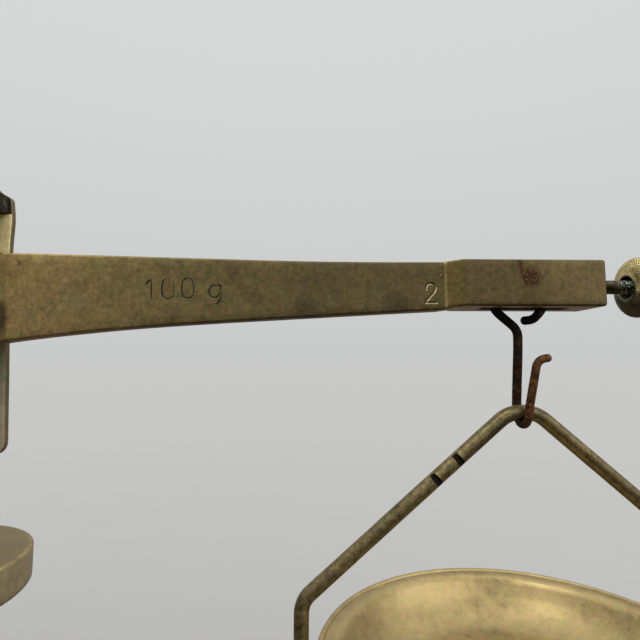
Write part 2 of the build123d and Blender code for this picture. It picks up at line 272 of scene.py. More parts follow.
def curve_value(knots, x):
    """Smooth interpolation through (x, value) knots in rising x."""
    if x <= knots[0][0]:
        return knots[0][1]
    if x >= knots[-1][0]:
        return knots[-1][1]
    for i in range(len(knots) - 1):
        if knots[i][0] <= x <= knots[i + 1][0]:
            x0, y0 = knots[i]
            x1, y1 = knots[i + 1]
            h = x1 - x0
            d = (y1 - y0) / h
            m0 = d if i == 0 else ((y1 - knots[i - 1][1]) / (x1 - knots[i - 1][0]))
            m1 = d if i == len(knots) - 2 else ((knots[i + 2][1] - y0) / (knots[i + 2][0] - x0))
            t = (x - x0) / h
            return (y0 * (2 * t ** 3 - 3 * t ** 2 + 1) + m0 * h * (t ** 3 - 2 * t ** 2 + t)
                    + y1 * (-2 * t ** 3 + 3 * t ** 2) + m1 * h * (t ** 3 - t ** 2))


# ------------------------------------------------------------------ node helpers
class Tree:
    def __init__(self, name):
        self.mat = bpy.data.materials.new(name)
        self.mat.use_nodes = True
        self.nt = self.mat.node_tree
        self.nt.nodes.clear()
        self.out = self.nt.nodes.new("ShaderNodeOutputMaterial")
        self.bsdf = self.nt.nodes.new("ShaderNodeBsdfPrincipled")
        self.link(self.bsdf.outputs[0], self.out.inputs[0])
        tc = self.nt.nodes.new("ShaderNodeTexCoord")
        mp = self.nt.nodes.new("ShaderNodeMapping")
        mp.inputs["Scale"].default_value = (1000, 1000, 1000)
        self.link(tc.outputs["Object"], mp.inputs["Vector"])
        self.co = mp.outputs["Vector"]          # position in millimetres

    def link(self, a, b):
        self.nt.links.new(a, b)

    def put(self, sock, value):
        if isinstance(value, bpy.types.NodeSocket):
            self.link(value, sock)
        elif value is not None:
            if isinstance(value, (tuple, list)) and len(value) == 3 and sock.type == "RGBA":
                value = (*value, 1.0)
            sock.default_value = value

    def scaled(self, s):
        n = self.nt.nodes.new("ShaderNodeMapping")
        n.inputs["Scale"].default_value = s
        self.link(self.co, n.inputs["Vector"])
        return n.outputs["Vector"]

    def noise(self, scale, detail=4.0, rough=0.55, vec=None, dist=0.0, kind="FBM"):
        n = self.nt.nodes.new("ShaderNodeTexNoise")
        n.inputs["Scale"].default_value = scale
        n.inputs["Detail"].default_value = detail
        n.inputs["Roughness"].default_value = rough
        n.inputs["Distortion"].default_value = dist
        self.link(vec or self.co, n.inputs["Vector"])
        return n.outputs["Fac"]

    def voronoi(self, scale, feature="F1", vec=None, rnd=1.0):
        n = self.nt.nodes.new("ShaderNodeTexVoronoi")
        n.feature = feature
        n.inputs["Scale"].default_value = scale
        n.inputs["Randomness"].default_value = rnd
        self.link(vec or self.co, n.inputs["Vector"])
        return n.outputs["Distance"]

    def ramp(self, fac, *stops, mode="LINEAR"):
        n = self.nt.nodes.new("ShaderNodeValToRGB")
        n.color_ramp.interpolation = mode
        while len(n.color_ramp.elements) > 1:
            n.color_ramp.elements.remove(n.color_ramp.elements[0])
        e = n.color_ramp.elements[0]
        for i, (p, c) in enumerate(stops):
            if i:
                e = n.color_ramp.elements.new(p)
            e.position = p
            e.color = (*c, 1) if isinstance(c, (tuple, list)) else (c, c, c, 1)
        self.link(fac, n.inputs["Fac"])
        return n.outputs["Color"]

    def math(self, op, a, b=None, c=None, clamp=False):
        n = self.nt.nodes.new("ShaderNodeMath")
        n.operation = op
        n.use_clamp = clamp
        self.put(n.inputs[0], a)
        if b is not None:
            self.put(n.inputs[1], b)
        if c is not None:
            self.put(n.inputs[2], c)
        return n.outputs[0]

    def mix(self, fac, a, b, mode="MIX"):
        n = self.nt.nodes.new("ShaderNodeMix")
        n.data_type = "RGBA"
        n.blend_type = mode
        self.put(n.inputs["Factor"], fac)
        self.put(n.inputs["A"] if False else n.inputs[6], a)
        self.put(n.inputs[7], b)
        return n.outputs[2]

    def remap(self, v, a, b, c=0.0, d=1.0):
        n = self.nt.nodes.new("ShaderNodeMapRange")
        n.inputs["From Min"].default_value = a
        n.inputs["From Max"].default_value = b
        n.inputs["To Min"].default_value = c
        n.inputs["To Max"].default_value = d
        self.link(v, n.inputs["Value"])
        return n.outputs["Result"]

    def xyz(self):
        n = self.nt.nodes.new("ShaderNodeSeparateXYZ")
        self.link(self.co, n.inputs[0])
        return n.outputs

    def edges(self, radius):
        """0 on flat ground, up to 1 on rounded outer edges."""
        b = self.nt.nodes.new("ShaderNodeBevel")
        b.samples = 4
        b.inputs["Radius"].default_value = radius * MM
        g = self.nt.nodes.new("ShaderNodeNewGeometry")
        d = self.nt.nodes.new("ShaderNodeVectorMath")
        d.operation = "DOT_PRODUCT"
        self.link(b.outputs[0], d.inputs[0])
        self.link(g.outputs["Normal"], d.inputs[1])
        return self.remap(d.outputs["Value"], 0.995, 0.86)

    def bump(self, height, strength, distance, normal=None, bevel=None):
        n = self.nt.nodes.new("ShaderNodeBump")
        n.inputs["Strength"].default_value = strength
        n.inputs["Distance"].default_value = distance * MM
        self.link(height, n.inputs["Height"])
        if bevel:
            b = self.nt.nodes.new("ShaderNodeBevel")
            b.samples = 4
            b.inputs["Radius"].default_value = bevel * MM
            self.link(b.outputs[0], n.inputs["Normal"])
        elif normal is not None:
            self.link(normal, n.inputs["Normal"])
        return n.outputs[0]

    def done(self, color, rough, metallic, normal=None, spec=0.5, **more):
        s = self.bsdf.inputs
        self.put(s["Base Color"], color)
        self.put(s["Roughness"], rough)
        self.put(s["Metallic"], metallic)
        s["Specular IOR Level"].default_value = spec
        if normal is not None:
            self.link(normal, s["Normal"])
        for k, v in more.items():
            self.put(s[k], v)
        return self.mat


def spot(t, x, z, rx, rz, soft=0.35, wob=0.5):
    """Soft elliptical patch on the front face at (x, z)."""
    o = t.xyz()
    nz = t.noise(1.4, 3)
    dx = t.math("MULTIPLY", t.math("SUBTRACT", o[0], x), 1.0 / rx)
    dz = t.math("MULTIPLY", t.math("SUBTRACT", o[2], z + CZ), 1.0 / rz)
    d = t.math("SQRT", t.math("ADD", t.math("MULTIPLY", dx, dx), t.math("MULTIPLY", dz, dz)))
    d = t.math("ADD", d, t.math("MULTIPLY", t.math("SUBTRACT", nz, 0.5), wob))
    return t.remap(d, 1.0 + soft, 1.0 - soft)


def tarnished(name, light, mid, dark, rough=(0.42, 0.6), metallic=0.85, grain=1.0, bevel=None, spots=(), wear=0.5, wear_col=None, streak=None, lathe=None, tone_x=None, shade=None, tone_gain=None, mottle=0.0):
    """Old brass or nickel silver: olive-brown oxide in broad clouds, fine pitting, brighter rubbed edges."""
    t = Tree(name)
    big = t.noise(0.055, 5, 0.6)
    med = t.noise(0.42, 5, 0.6, dist=0.4)
    fine = t.noise(2.6, 4, 0.6)
    tone = t.math("ADD", t.math("MULTIPLY", big, 0.55), t.math("MULTIPLY", med, 0.45))
    col = t.ramp(tone, (0.33, dark), (0.5, mid), (0.66, light))
    # greenish and pinkish casts
    cast = t.noise(0.3, 3, 0.5, vec=t.scaled((1, 1.3, 1)))
    col = t.mix(t.remap(cast, 0.5, 0.72, 0.0, 0.55), col, tuple(c * k for c, k in zip(mid, (0.86, 1.02, 0.92))))
    col = t.mix(t.remap(cast, 0.5, 0.3, 0.0, 0.5), col, tuple(c * k for c, k in zip(mid, (1.1, 0.97, 1.12))))
    speck = t.noise(1.5, 6, 0.72)
    col = t.mix(t.remap(speck, 0.6, 0.74, 0.0, 0.6), col, tuple(c * 0.5 for c in dark))
    col = t.mix(t.remap(fine, 0.45, 0.75, 0.0, 0.28), col, tuple(min(1, c * 1.35) for c in light))
    pits = t.voronoi(0.9)
    pit = t.remap(pits, 0.13, 0.05)
    col = t.mix(t.math("MULTIPLY", pit, 0.5), col, tuple(c * 0.35 for c in dark))
    if wear:
        e = t.edges(0.35)
        e = t.math("MULTIPLY", e, t.remap(t.noise(0.8, 3), 0.35, 0.6))
        col = t.mix(t.math("MULTIPLY", e, wear), col, wear_col or tuple(min(1, c * 1.7) for c in light))
    for (x, z, rx, rz, c, amount) in spots:
        col = t.mix(t.math("MULTIPLY", spot(t, x, z, rx, rz), amount), col, c)
    if tone_x:          # painted highlight as a pale mottled band towards the top edge, grey-blue cloudy patches lower down, and painted shade as a broken dark line along the rounded edges
        o = t.xyz()
        z = t.math("SUBTRACT", o[2], CZ)
        # painted highlight: pale mottled band growing towards the top of the face
        top_highlight = t.math("MULTIPLY", t.remap(t.noise(0.35, 5, 0.65, vec=t.scaled((0.5, 1.0, 2.6))), 0.60, 0.70), t.remap(z, 1.5, 5.0))
        col = t.mix(t.math("MULTIPLY", top_highlight, 0.45), col, (0.40, 0.37, 0.25))
        cloud = t.math("MULTIPLY", t.remap(t.noise(0.22, 3, 0.5), 0.58, 0.68), t.remap(z, 2.0, -3.0))
        col = t.mix(t.math("MULTIPLY", cloud, 0.32), col, (0.12, 0.115, 0.085))
        # painted shade: a broken dark line along the rounded edges, missing where this noise is high
        edge_shade_gap = t.remap(t.noise(1.1, 4, 0.65), 0.45, 0.62)
        col = t.mix(t.math("MULTIPLY", t.math("MULTIPLY", t.edges(0.55), t.math("SUBTRACT", 1.0, edge_shade_gap)), 0.5), col, (0.05, 0.042, 0.022))
    if mottle:          # fine bright and dull specks left by handling
        q = t.math("ADD", t.math("MULTIPLY", t.noise(1.05, 5, 0.72), 0.8), t.math("MULTIPLY", t.noise(0.9, 3, 0.6, vec=t.scaled((2.0, 1.0, 0.6))), 0.2))
        q = t.remap(q, 0.34, 0.66, 1.0 - mottle, 1.0 + mottle)
        n = t.nt.nodes.new("ShaderNodeCombineXYZ")
        for i in range(3):
            t.link(q, n.inputs[i])
        col = t.mix(1.0, col, n.outputs[0], "MULTIPLY")
    if tone_gain:           # brightness change on chosen faces: inside the mask the colour is divided by the given colour; used for painted light and painted shade, and for darker marks
        m, c = tone_gain(t)
        col = t.mix(m, col, t.mix(1.0, col, c, "DIVIDE"))
    if tone_x:          # brightness gain that changes along the arm: stops of (distance from the middle, gain)
        ax = t.math("DIVIDE", t.math("ABSOLUTE", t.xyz()[0]), 140.0)
        gain = t.ramp(ax, *[(d / 140.0, tuple(g * 0.4 for g in c)) for d, c in tone_x])
        col = t.mix(1.0, t.mix(1.0, col, gain, "MULTIPLY"), (2.5, 2.5, 2.5), "MULTIPLY")
    if shade:           # painted shade: near black inside the caller's mask
        m = shade(t)
        m = t.math("MULTIPLY", m, t.remap(t.noise(0.7, 4), 0.25, 0.5, 0.82, 1.0))
        col = t.mix(m, col, (0.016, 0.013, 0.008))
    r = t.remap(med, 0.3, 0.7, rough[0], rough[1])
    if shade:
        r = t.math("MAXIMUM", r, t.math("MULTIPLY", m, 0.6))
    h = t.math("ADD", t.math("MULTIPLY", fine, 0.5), t.math("MULTIPLY", t.noise(7.0, 3), 0.25))
    h = t.math("SUBTRACT", h, t.math("MULTIPLY", pit, 0.6))
    if streak:
        h = t.math("ADD", h, t.math("MULTIPLY", t.noise(1.0, 3, 0.6, vec=t.scaled(streak)), 0.5))
    if lathe:
        h = t.math("ADD", h, t.math("MULTIPLY", t.noise(1.0, 2, 0.5, vec=lathe(t)), 0.6))
    n = t.bump(h, 0.35 * grain, 0.06, bevel=bevel)
    return t.done(col, r, metallic, n, 0.4)


def groove_light_and_shade(name):
    """Painted light and shade in each stamped line: the upper left wall, turned away from the light, painted near
    black; the lower right wall, turned up and to the left, painted pale as if lit; both walls paler in the heavier
    punched number.
    """
    t = Tree(name)
    g = t.nt.nodes.new("ShaderNodeNewGeometry")
    tc = t.nt.nodes.new("ShaderNodeTexCoord")
    d = t.nt.nodes.new("ShaderNodeVectorMath")
    d.operation = "DOT_PRODUCT"
    d.inputs[1].default_value = (-0.62, -0.25, 0.74)
    t.link(tc.outputs["Normal"], d.inputs[0])
    o = t.xyz()
    heavy = t.remap(t.math("ABSOLUTE", o[0]), 90.0, 95.0)
    # painted light: walls whose normal points towards (-0.62, -0.25, 0.74) come out pale, the others near black
    lit = t.remap(d.outputs["Value"], 0.05, 0.62)
    lit_wall_col = t.mix(heavy, (0.26, 0.20, 0.10), (0.78, 0.64, 0.36))
    groove_dark = t.mix(heavy, (0.012, 0.009, 0.005), (0.03, 0.022, 0.010))
    col = t.mix(t.math("MULTIPLY", lit, t.remap(t.noise(1.2, 3), 0.3, 0.6, 0.6, 1.0)), groove_dark, lit_wall_col)
    return t.done(col, t.remap(t.noise(4.0, 3), 0.3, 0.7, 0.5, 0.75), 0.2, t.bump(t.noise(8.0, 3), 0.3, 0.03), 0.3)


def turned_coords(cx, cy, fr=9.0, fz=7.0):
    """Coordinates that change only with radius and height, for tool marks on turned pieces."""
    def make(t):
        o = t.xyz()
        dx = t.math("SUBTRACT", o[0], cx)
        dy = t.math("SUBTRACT", o[1], cy + CY)
        r = t.math("SQRT", t.math("ADD", t.math("MULTIPLY", dx, dx), t.math("MULTIPLY", dy, dy)))
        n = t.nt.nodes.new("ShaderNodeCombineXYZ")
        t.link(t.math("MULTIPLY", r, fr), n.inputs[0])
        t.link(t.math("MULTIPLY", o[2], fz), n.inputs[1])
        return n.outputs[0]
    return make


def rusted(name, base, orange, amount=0.5, rough=0.75, leg=False):
    t = Tree(name)
    med = t.noise(1.1, 5, 0.65, dist=0.5)
    fine = t.noise(5.0, 5, 0.7)
    grit = t.noise(14.0, 3, 0.6)
    tone = t.math("ADD", t.math("MULTIPLY", med, 0.6), t.math("MULTIPLY", fine, 0.4))
    if leg:             # fresher orange rust on the open front leg and along the bottom of the bend, bare metal at the sheared tip
        o = t.xyz()
        y, z = t.math("SUBTRACT", o[1], CY), t.math("SUBTRACT", o[2], CZ)
        front = t.remap(y, -0.9, -2.6)
        tone = t.math("ADD", tone, t.math("MULTIPLY", front, 0.075))
        tone = t.math("SUBTRACT", tone, t.math("MULTIPLY", t.remap(z, -11.0, -7.5), 0.12))
    col = t.ramp(tone, (0.36, tuple(c * 0.55 for c in base)), (0.5, base), (0.62, tuple(a * (1 - amount) + b * amount for a, b in zip(base, orange))), (0.75, orange))
    col = t.mix(t.remap(grit, 0.55, 0.75, 0.0, 0.5), col, tuple(c * 0.4 for c in base))
    if not leg:         # crust of fine orange flecks
        fleck = t.remap(t.noise(3.2, 3, 0.6), 0.52, 0.62)
        col = t.mix(fleck, tuple(c * 0.8 for c in base), col)
        col = t.mix(t.remap(t.noise(3.0, 2, 0.5), 0.56, 0.64, 0.0, 0.75), col, (0.30, 0.12, 0.022))
    if leg:
        glint = t.math("MULTIPLY", t.remap(t.noise(9.0, 2, 0.5), 0.62, 0.72), t.remap(z, -26.8, -27.8))
        col = t.mix(t.math("MULTIPLY", glint, 0.7), col, (0.55, 0.42, 0.26))
        tip = t.math("MULTIPLY", t.remap(t.math("ABSOLUTE", o[0]), 123.0, 124.0), t.remap(z, -20.0, -18.0))
        tip = t.math("MULTIPLY", tip, t.remap(med, 0.35, 0.6, 0.55, 1.0))
        col = t.mix(tip, col, (0.30, 0.18, 0.14))
    r = t.remap(fine, 0.3, 0.7, rough - 0.15, min(1.0, rough + 0.12))
    h = t.math("ADD", t.math("MULTIPLY", fine, 0.6), t.math("MULTIPLY", grit, 0.35))
    n = t.bump(h, 0.8, 0.09)
    if leg:
        # darker and rougher from about z = -12 upwards, fully from -7.5, over the eye
        eye_darker = t.remap(z, -12.0, -7.5)
        col = t.mix(eye_darker, col, t.mix(1.0, col, (0.45, 0.45, 0.5), "MULTIPLY"))
        return t.done(col, t.math("MAXIMUM", r, t.math("MULTIPLY", eye_darker, 0.9)), 0.35, n, 0.22)
    return t.done(col, r, 0.35, n, 0.4)


def steel(name, col1, col2, rough=(0.28, 0.42), bevel=None, metallic=1.0, streak=(0.3, 0.3, 8.0), stain=0.5, crust=False):
    t = Tree(name)
    med = t.noise(0.6, 4, 0.6)
    fine = t.noise(1.0, 3, 0.6, vec=t.scaled(streak))
    col = t.ramp(med, (0.35, col2), (0.62, col1))
    col = t.mix(t.remap(t.noise(1.2, 5, 0.7), 0.58, 0.75, 0.0, stain), col, (0.10, 0.065, 0.04))
    if crust:           # pale green and black dirt caught in the threads where the nut sits
        x = t.math("ABSOLUTE", t.xyz()[0])
        near = t.math("MULTIPLY", t.remap(x, 139.8, 141.6), t.remap(x, 149.5, 148.5))
        fleck = t.remap(t.noise(2.6, 4, 0.7), 0.50, 0.60)
        col = t.mix(near, col, t.mix(fleck, (0.020, 0.022, 0.016), (0.40, 0.47, 0.40)))
    r = t.remap(fine, 0.3, 0.7, *rough)
    n = t.bump(t.math("ADD", fine, t.math("MULTIPLY", t.noise(6.0, 2), 0.3)), 0.25, 0.04, bevel=bevel)
    return t.done(col, r, metallic, n)


def wood(name):
    t = Tree(name)
    wob = t.noise(0.02, 3, 0.5, vec=t.scaled((0.35, 1.0, 1.0)))
    o = t.xyz()
    n = t.nt.nodes.new("ShaderNodeCombineXYZ")
    t.link(t.math("MULTIPLY", o[0], 0.012), n.inputs[0])
    t.link(t.math("ADD", t.math("MULTIPLY", o[1], 0.11), t.math("MULTIPLY", wob, 4.5)), n.inputs[1])
    t.link(t.math("MULTIPLY", o[2], 0.16), n.inputs[2])
    rings = t.noise(1.0, 4, 0.6, vec=n.outputs[0])
    m = t.nt.nodes.new("ShaderNodeCombineXYZ")
    t.link(t.math("MULTIPLY", o[0], 0.07), m.inputs[0])
    t.link(t.math("MULTIPLY", o[1], 2.6), m.inputs[1])
    t.link(t.math("MULTIPLY", o[2], 2.6), m.inputs[2])
    pores = t.noise(1.0, 3, 0.65, vec=m.outputs[0])
    col = t.ramp(rings, (0.3, (0.050, 0.018, 0.008)), (0.48, (0.105, 0.042, 0.018)), (0.6, (0.16, 0.068, 0.029)), (0.72, (0.115, 0.045, 0.019)))
    col = t.mix(t.remap(pores, 0.56, 0.7, 0.0, 0.75), col, (0.022, 0.009, 0.005))
    e = t.math("MULTIPLY", t.edges(1.2), t.remap(t.noise(0.09, 4), 0.42, 0.6))
    col = t.mix(t.math("MULTIPLY", e, 0.6), col, (0.24, 0.125, 0.06))
    scuff = t.noise(0.5, 5, 0.7, vec=t.scaled((0.25, 1.0, 1.0)))
    r = t.remap(scuff, 0.4, 0.75, 0.26, 0.5)
    h = t.math("SUBTRACT", t.math("MULTIPLY", rings, 0.25), t.math("MULTIPLY", t.remap(pores, 0.54, 0.7), 0.5))
    nb = t.bump(h, 0.35, 0.08)
    mat = t.done(col, r, 0.0, nb, 0.5)
    s = t.bsdf.inputs
    s["Coat Weight"].default_value = 0.45
    s["Coat Roughness"].default_value = 0.16
    return mat


# ------------------------------------------------------------------ materials
STAIN = (0.055, 0.04, 0.022)
RUST = (0.16, 0.055, 0.018)
def fork_bridge_shade(t):
    """Painted shade on the ends and underside of the bridge and on the cheeks' inner faces between 17 and 23 mm."""
    o = t.xyz()
    y = t.math("ABSOLUTE", t.math("SUBTRACT", o[1], CY))
    z = t.math("SUBTRACT", o[2], CZ)
    inside = t.remap(y, 8.1, 8.03)
    high = t.remap(z, 16.85, 17.0)
    low = t.remap(z, 23.2, 22.9)
    return t.math("MULTIPLY", t.math("MULTIPLY", inside, high), low)


def fork_inner_light(t):
    """Painted light on the inner faces of the cheeks, about twice as bright below 1 mm and about 3.5 times from 5 mm
    up, and painted shade on the cheeks' edge faces.
    """
    o = t.xyz()
    y = t.math("ABSOLUTE", t.math("SUBTRACT", o[1], CY))
    z = t.math("SUBTRACT", o[2], CZ)
    inner = t.mix(t.remap(z, 1.0, 5.0), (0.633, 0.562, 0.423), (0.293, 0.265, 0.27))
    return t.remap(y, 9.47, 9.38), t.mix(t.remap(y, 8.14, 8.04), (1.7, 1.7, 1.75), inner)


def beam_facet_light(t):
    """Painted highlight on the two slopes between the arm and the end block, made brighter than the flats beside them
    and paler still along a line near 103.75 mm; painted light from below on the downward faces of the outer arm, along
    with a dusty patina.
    """
    tc = t.nt.nodes.new("ShaderNodeTexCoord")
    sep = t.nt.nodes.new("ShaderNodeSeparateXYZ")
    t.link(tc.outputs["Normal"], sep.inputs[0])
    nx, ny = t.math("ABSOLUTE", sep.outputs[0]), t.math("ABSOLUTE", sep.outputs[1])
    x = t.math("ABSOLUTE", t.xyz()[0])
    # painted highlight: the slopes, picked out by their normals
    m = t.math("MULTIPLY", t.remap(nx, 0.30, 0.5), t.remap(ny, 0.45, 0.65))
    m = t.math("MULTIPLY", m, t.remap(x, 110.0, 108.5))
    edge = t.math("MULTIPLY", t.remap(t.math("ABSOLUTE", t.math("SUBTRACT", x, t.math("ADD", 103.75, t.math("MULTIPLY", t.noise(0.5, 3), 0.35)))), 0.42, 0.12), t.remap(t.noise(1.3, 4), 0.3, 0.5, 0.3, 1.0))
    c = t.mix(edge, (0.56, 0.54, 0.62), (0.33, 0.31, 0.30))
    # painted light from below, along with a dusty patina: downward faces beyond 85 to 100 mm made about three times
    # paler
    under = t.math("MULTIPLY", t.remap(sep.outputs[2], -0.90, -0.98), t.remap(x, 85.0, 100.0))
    return t.math("MAXIMUM", m, under), t.mix(under, c, (0.30, 0.32, 0.22))


def cap_faces(t):
    """Column cap: paler in patches along its top rim and paler still on its side, the flat top a touch darker."""
    o = t.xyz()
    dy = t.math("SUBTRACT", o[1], CY)
    r = t.math("SQRT", t.math("ADD", t.math("MULTIPLY", o[0], o[0]), t.math("MULTIPLY", dy, dy)))
    z = t.math("SUBTRACT", o[2], CZ)
    here = t.math("MULTIPLY", t.remap(z, -62.0, -61.0), t.remap(r, 10.5, 11.5))
    rim = t.math("MULTIPLY", t.remap(r, 19.8, 20.6), t.remap(z, -53.9, -53.2))
    c = t.mix(t.remap(r, 20.85, 20.97), (1.05, 1.11, 1.25), (0.56, 0.52, 0.42))
    return here, t.mix(t.math("MULTIPLY", rim, t.remap(t.noise(0.6, 4), 0.3, 0.6, 0.35, 1.0)), c, (0.60, 0.60, 0.62))


def wire_nicks(t):
    """The filed nicks, darkened to about a ninth."""
    o = t.xyz()
    x, z = o[0], t.math("SUBTRACT", o[2], CZ)
    m = None
    for a, b in ((105.85, -34.35), (101.35, -38.2), (-105.85, -34.35)):
        s = 1.0 if a > 0 else -1.0
        u = t.math("ADD", t.math("MULTIPLY", t.math("SUBTRACT", x, a), 0.7588), t.math("MULTIPLY", t.math("SUBTRACT", z, b), 0.6514 * s))
        v = t.math("ADD", t.math("MULTIPLY", t.math("SUBTRACT", x, a), -0.6514 * s), t.math("MULTIPLY", t.math("SUBTRACT", z, b), 0.7588))
        w = t.math("MULTIPLY", t.remap(t.math("ABSOLUTE", u), 0.75, 0.55), t.remap(t.math("ABSOLUTE", v), 2.6, 2.2))
        w = t.math("MULTIPLY", w, t.remap(t.math("SUBTRACT", o[1], CY), -0.45, -0.65))
        m = w if m is None else t.math("MAXIMUM", m, w)
    return m, (9.0, 9.0, 9.0)


def nut_lower_shade_and_grooves(t):
    """Painted shade on the lower half of the nut, with a ragged edge; the knurl grooves darker still, all round."""
    o = t.xyz()
    z = t.math("SUBTRACT", o[2], CZ)
    edge = t.math("ADD", z, t.math("MULTIPLY", t.math("SUBTRACT", t.noise(1.2, 4), 0.5), 1.4))
    groove_depth = t.nt.nodes.new("ShaderNodeAttribute")
    groove_depth.attribute_name = "groove"
    g = groove_depth.outputs["Fac"]
    low = t.mix(t.remap(edge, -0.4, -1.6), (1.0, 1.0, 1.0), (3.6, 3.2, 2.4))
    return t.math("MAXIMUM", t.remap(g, 0.05, 0.75), t.remap(edge, -0.4, -1.6)), t.mix(t.remap(g, 0.1, 0.9), low, t.mix(1.0, low, (1.9, 2.0, 2.2), "MULTIPLY"))


# painted shade, together with old grease: the bore and countersink go near black inside a radius of about 2.3 mm
def nut_bore_shade(t):
    o = t.xyz()
    y, z = t.math("SUBTRACT", o[1], CY), t.math("SUBTRACT", o[2], CZ)
    r = t.math("SQRT", t.math("ADD", t.math("MULTIPLY", y, y), t.math("MULTIPLY", z, z)))
    return t.remap(r, 2.75, 2.3)


beam_mat = tarnished("beam_brass", (0.25, 0.185, 0.088), (0.165, 0.122, 0.056), (0.105, 0.080, 0.038),
                     rough=(0.40, 0.58), metallic=0.62, wear=0.5, wear_col=(0.30, 0.26, 0.18), streak=(0.25, 1.0, 2.5), tone_gain=beam_facet_light, mottle=0.36,
                     tone_x=[(0, (1.7, 1.64, 1.36)), (15, (1.75, 1.70, 1.42)), (32, (1.38, 1.38, 1.14)), (50, (0.80, 0.83, 0.68)), (75, (0.62, 0.64, 0.52)), (95, (0.48, 0.49, 0.39)),
                             (108, (0.56, 0.55, 0.43)), (120, (0.58, 0.57, 0.44)), (135, (0.76, 0.745, 0.62))],
                     spots=[(75.5, -4.9, 2.0, 1.6, STAIN, 0.4), (65.8, -3.2, 1.8, 1.5, STAIN, 0.3), (93.7, -3.3, 2.2, 1.8, STAIN, 0.4),
                            (19.5, 3.95, 0.42, 0.42, (0.07, 0.035, 0.01), 0.85), (16.6, -6.7, 1.0, 3.0, (0.02, 0.014, 0.01), 0.8),
                            (118.6, 2.3, 0.9, 1.3, (0.19, 0.085, 0.016), 0.85), (117.8, 4.0, 0.5, 1.3, (0.075, 0.032, 0.010), 1.0), (118.25, 2.9, 0.35, 1.2, (0.05, 0.022, 0.008), 0.8), (116.9, 3.2, 0.8, 1.6, (0.10, 0.075, 0.03), 0.5),
                            (119.6, -2.7, 1.4, 1.6, (0.13, 0.085, 0.028), 0.5), (120.1, 1.1, 1.95, 2.1, (0.075, 0.038, 0.013), 0.75)])
groove_light_mat = groove_light_and_shade("stamped_grooves_painted_light")
nut_mat = tarnished("nut_brass", (0.66, 0.56, 0.29), (0.53, 0.44, 0.21), (0.32, 0.26, 0.12), rough=(0.20, 0.32), metallic=1.0, wear=0.0, shade=nut_bore_shade, tone_gain=nut_lower_shade_and_grooves, mottle=0.25)
fork_mat = tarnished("fork_brass", (0.37, 0.30, 0.165), (0.27, 0.215, 0.115), (0.17, 0.135, 0.075), rough=(0.42, 0.6), metallic=0.45, wear=0.3, shade=fork_bridge_shade, tone_gain=fork_inner_light, mottle=0.12)
wire_mat = tarnished("wire_brass", (0.29, 0.225, 0.105), (0.145, 0.114, 0.052), (0.058, 0.046, 0.021), rough=(0.36, 0.55), metallic=0.75, wear=0.0, grain=1.5, mottle=0.5, tone_gain=wire_nicks)
cap_mat = tarnished("turned_brass", (0.29, 0.235, 0.115), (0.20, 0.155, 0.072), (0.125, 0.096, 0.045), rough=(0.36, 0.52), metallic=0.7, wear=0.5, lathe=turned_coords(0, 0), tone_gain=cap_faces, mottle=0.12)
foot_mat = tarnished("foot_brass", (0.36, 0.28, 0.13), (0.25, 0.19, 0.085), (0.13, 0.10, 0.05), rough=(0.33, 0.5), metallic=0.8, wear=0.7)
pan_mats = {}
for side, k in (("right", 1), ("left", -1)):
    pan_mats[side] = tarnished("pan_brass_" + side, (0.46, 0.36, 0.17), (0.36, 0.275, 0.125), (0.20, 0.15, 0.07), rough=(0.26, 0.42), metallic=0.9,
                               wear=0.5, grain=0.7, lathe=turned_coords(k * HOOK_X, 0, 3.0, 3.0))
rust_mat = rusted("rusty_wire", (0.019, 0.011, 0.007), (0.30, 0.115, 0.030), 0.40, leg=True)
pin_mat = rusted("rusty_pin", (0.046, 0.022, 0.008), (0.42, 0.17, 0.035), 0.62, 0.8)
dark_steel = steel("dark_steel", (0.115, 0.10, 0.062), (0.034, 0.030, 0.018), rough=(0.35, 0.55), metallic=0.9, stain=0.7, crust=True)
bright_steel = steel("ground_steel", (0.55, 0.54, 0.52), (0.38, 0.37, 0.35), bevel=0.15)
screw_steel = steel("screw_steel", (0.30, 0.29, 0.27), (0.14, 0.13, 0.12), bevel=0.12, stain=0.8)
rod_steel = steel("rod_steel", (0.50, 0.49, 0.47), (0.33, 0.32, 0.30), rough=(0.2, 0.34), streak=(2.0, 2.0, 0.2))
hidden_brass = tarnished("carrier_brass", (0.34, 0.27, 0.14), (0.24, 0.19, 0.095), (0.13, 0.10, 0.05), metallic=0.75, bevel=0.3, wear=0.6)
dial_mat = steel("silvered_dial", (0.62, 0.60, 0.54), (0.47, 0.45, 0.39), rough=(0.38, 0.55), bevel=0.12, metallic=0.6, streak=(0.4, 1, 6.0), stain=0.35)
wood_mat = wood("varnished_wood")


# ------------------------------------------------------------------ beam
LOWER = [(0.0, -13.3), (14.0, -12.0), (21.7, -10.9), (29.7, -9.97), (41.8, -8.79), (58.0, -7.64), (74.6, -6.67), (91.3, -5.69), (103.0, -5.06)]
UPPER = [(16.575, 6.06), (35.1, 5.68), (54.8, 5.2), (74.7, 4.76), (90.0, 4.66), (103.0, 4.73)]


def beam_bottom(x):
    x = abs(x)
    if x > 103.0:
        return -5.06 + (0.51) * min(1.0, (x - 103.0) / 2.6)
    if x < 14.0:
        return -13.3 + 1.3 * (x / 14.0) ** 2 * (1.0 + 0.25 * (1 - x / 14.0))
    return curve_value(LOWER[1:], x)


def beam_top(x):
    x = abs(x)
    if x > 103.0:
        return 4.73 + 0.02 * min(1.0, (x - 103.0) / 2.6)
    if x < 16.575:
        return -22.65 + math.sqrt(33.15 ** 2 - x * x)
    return curve_value(UPPER, x)


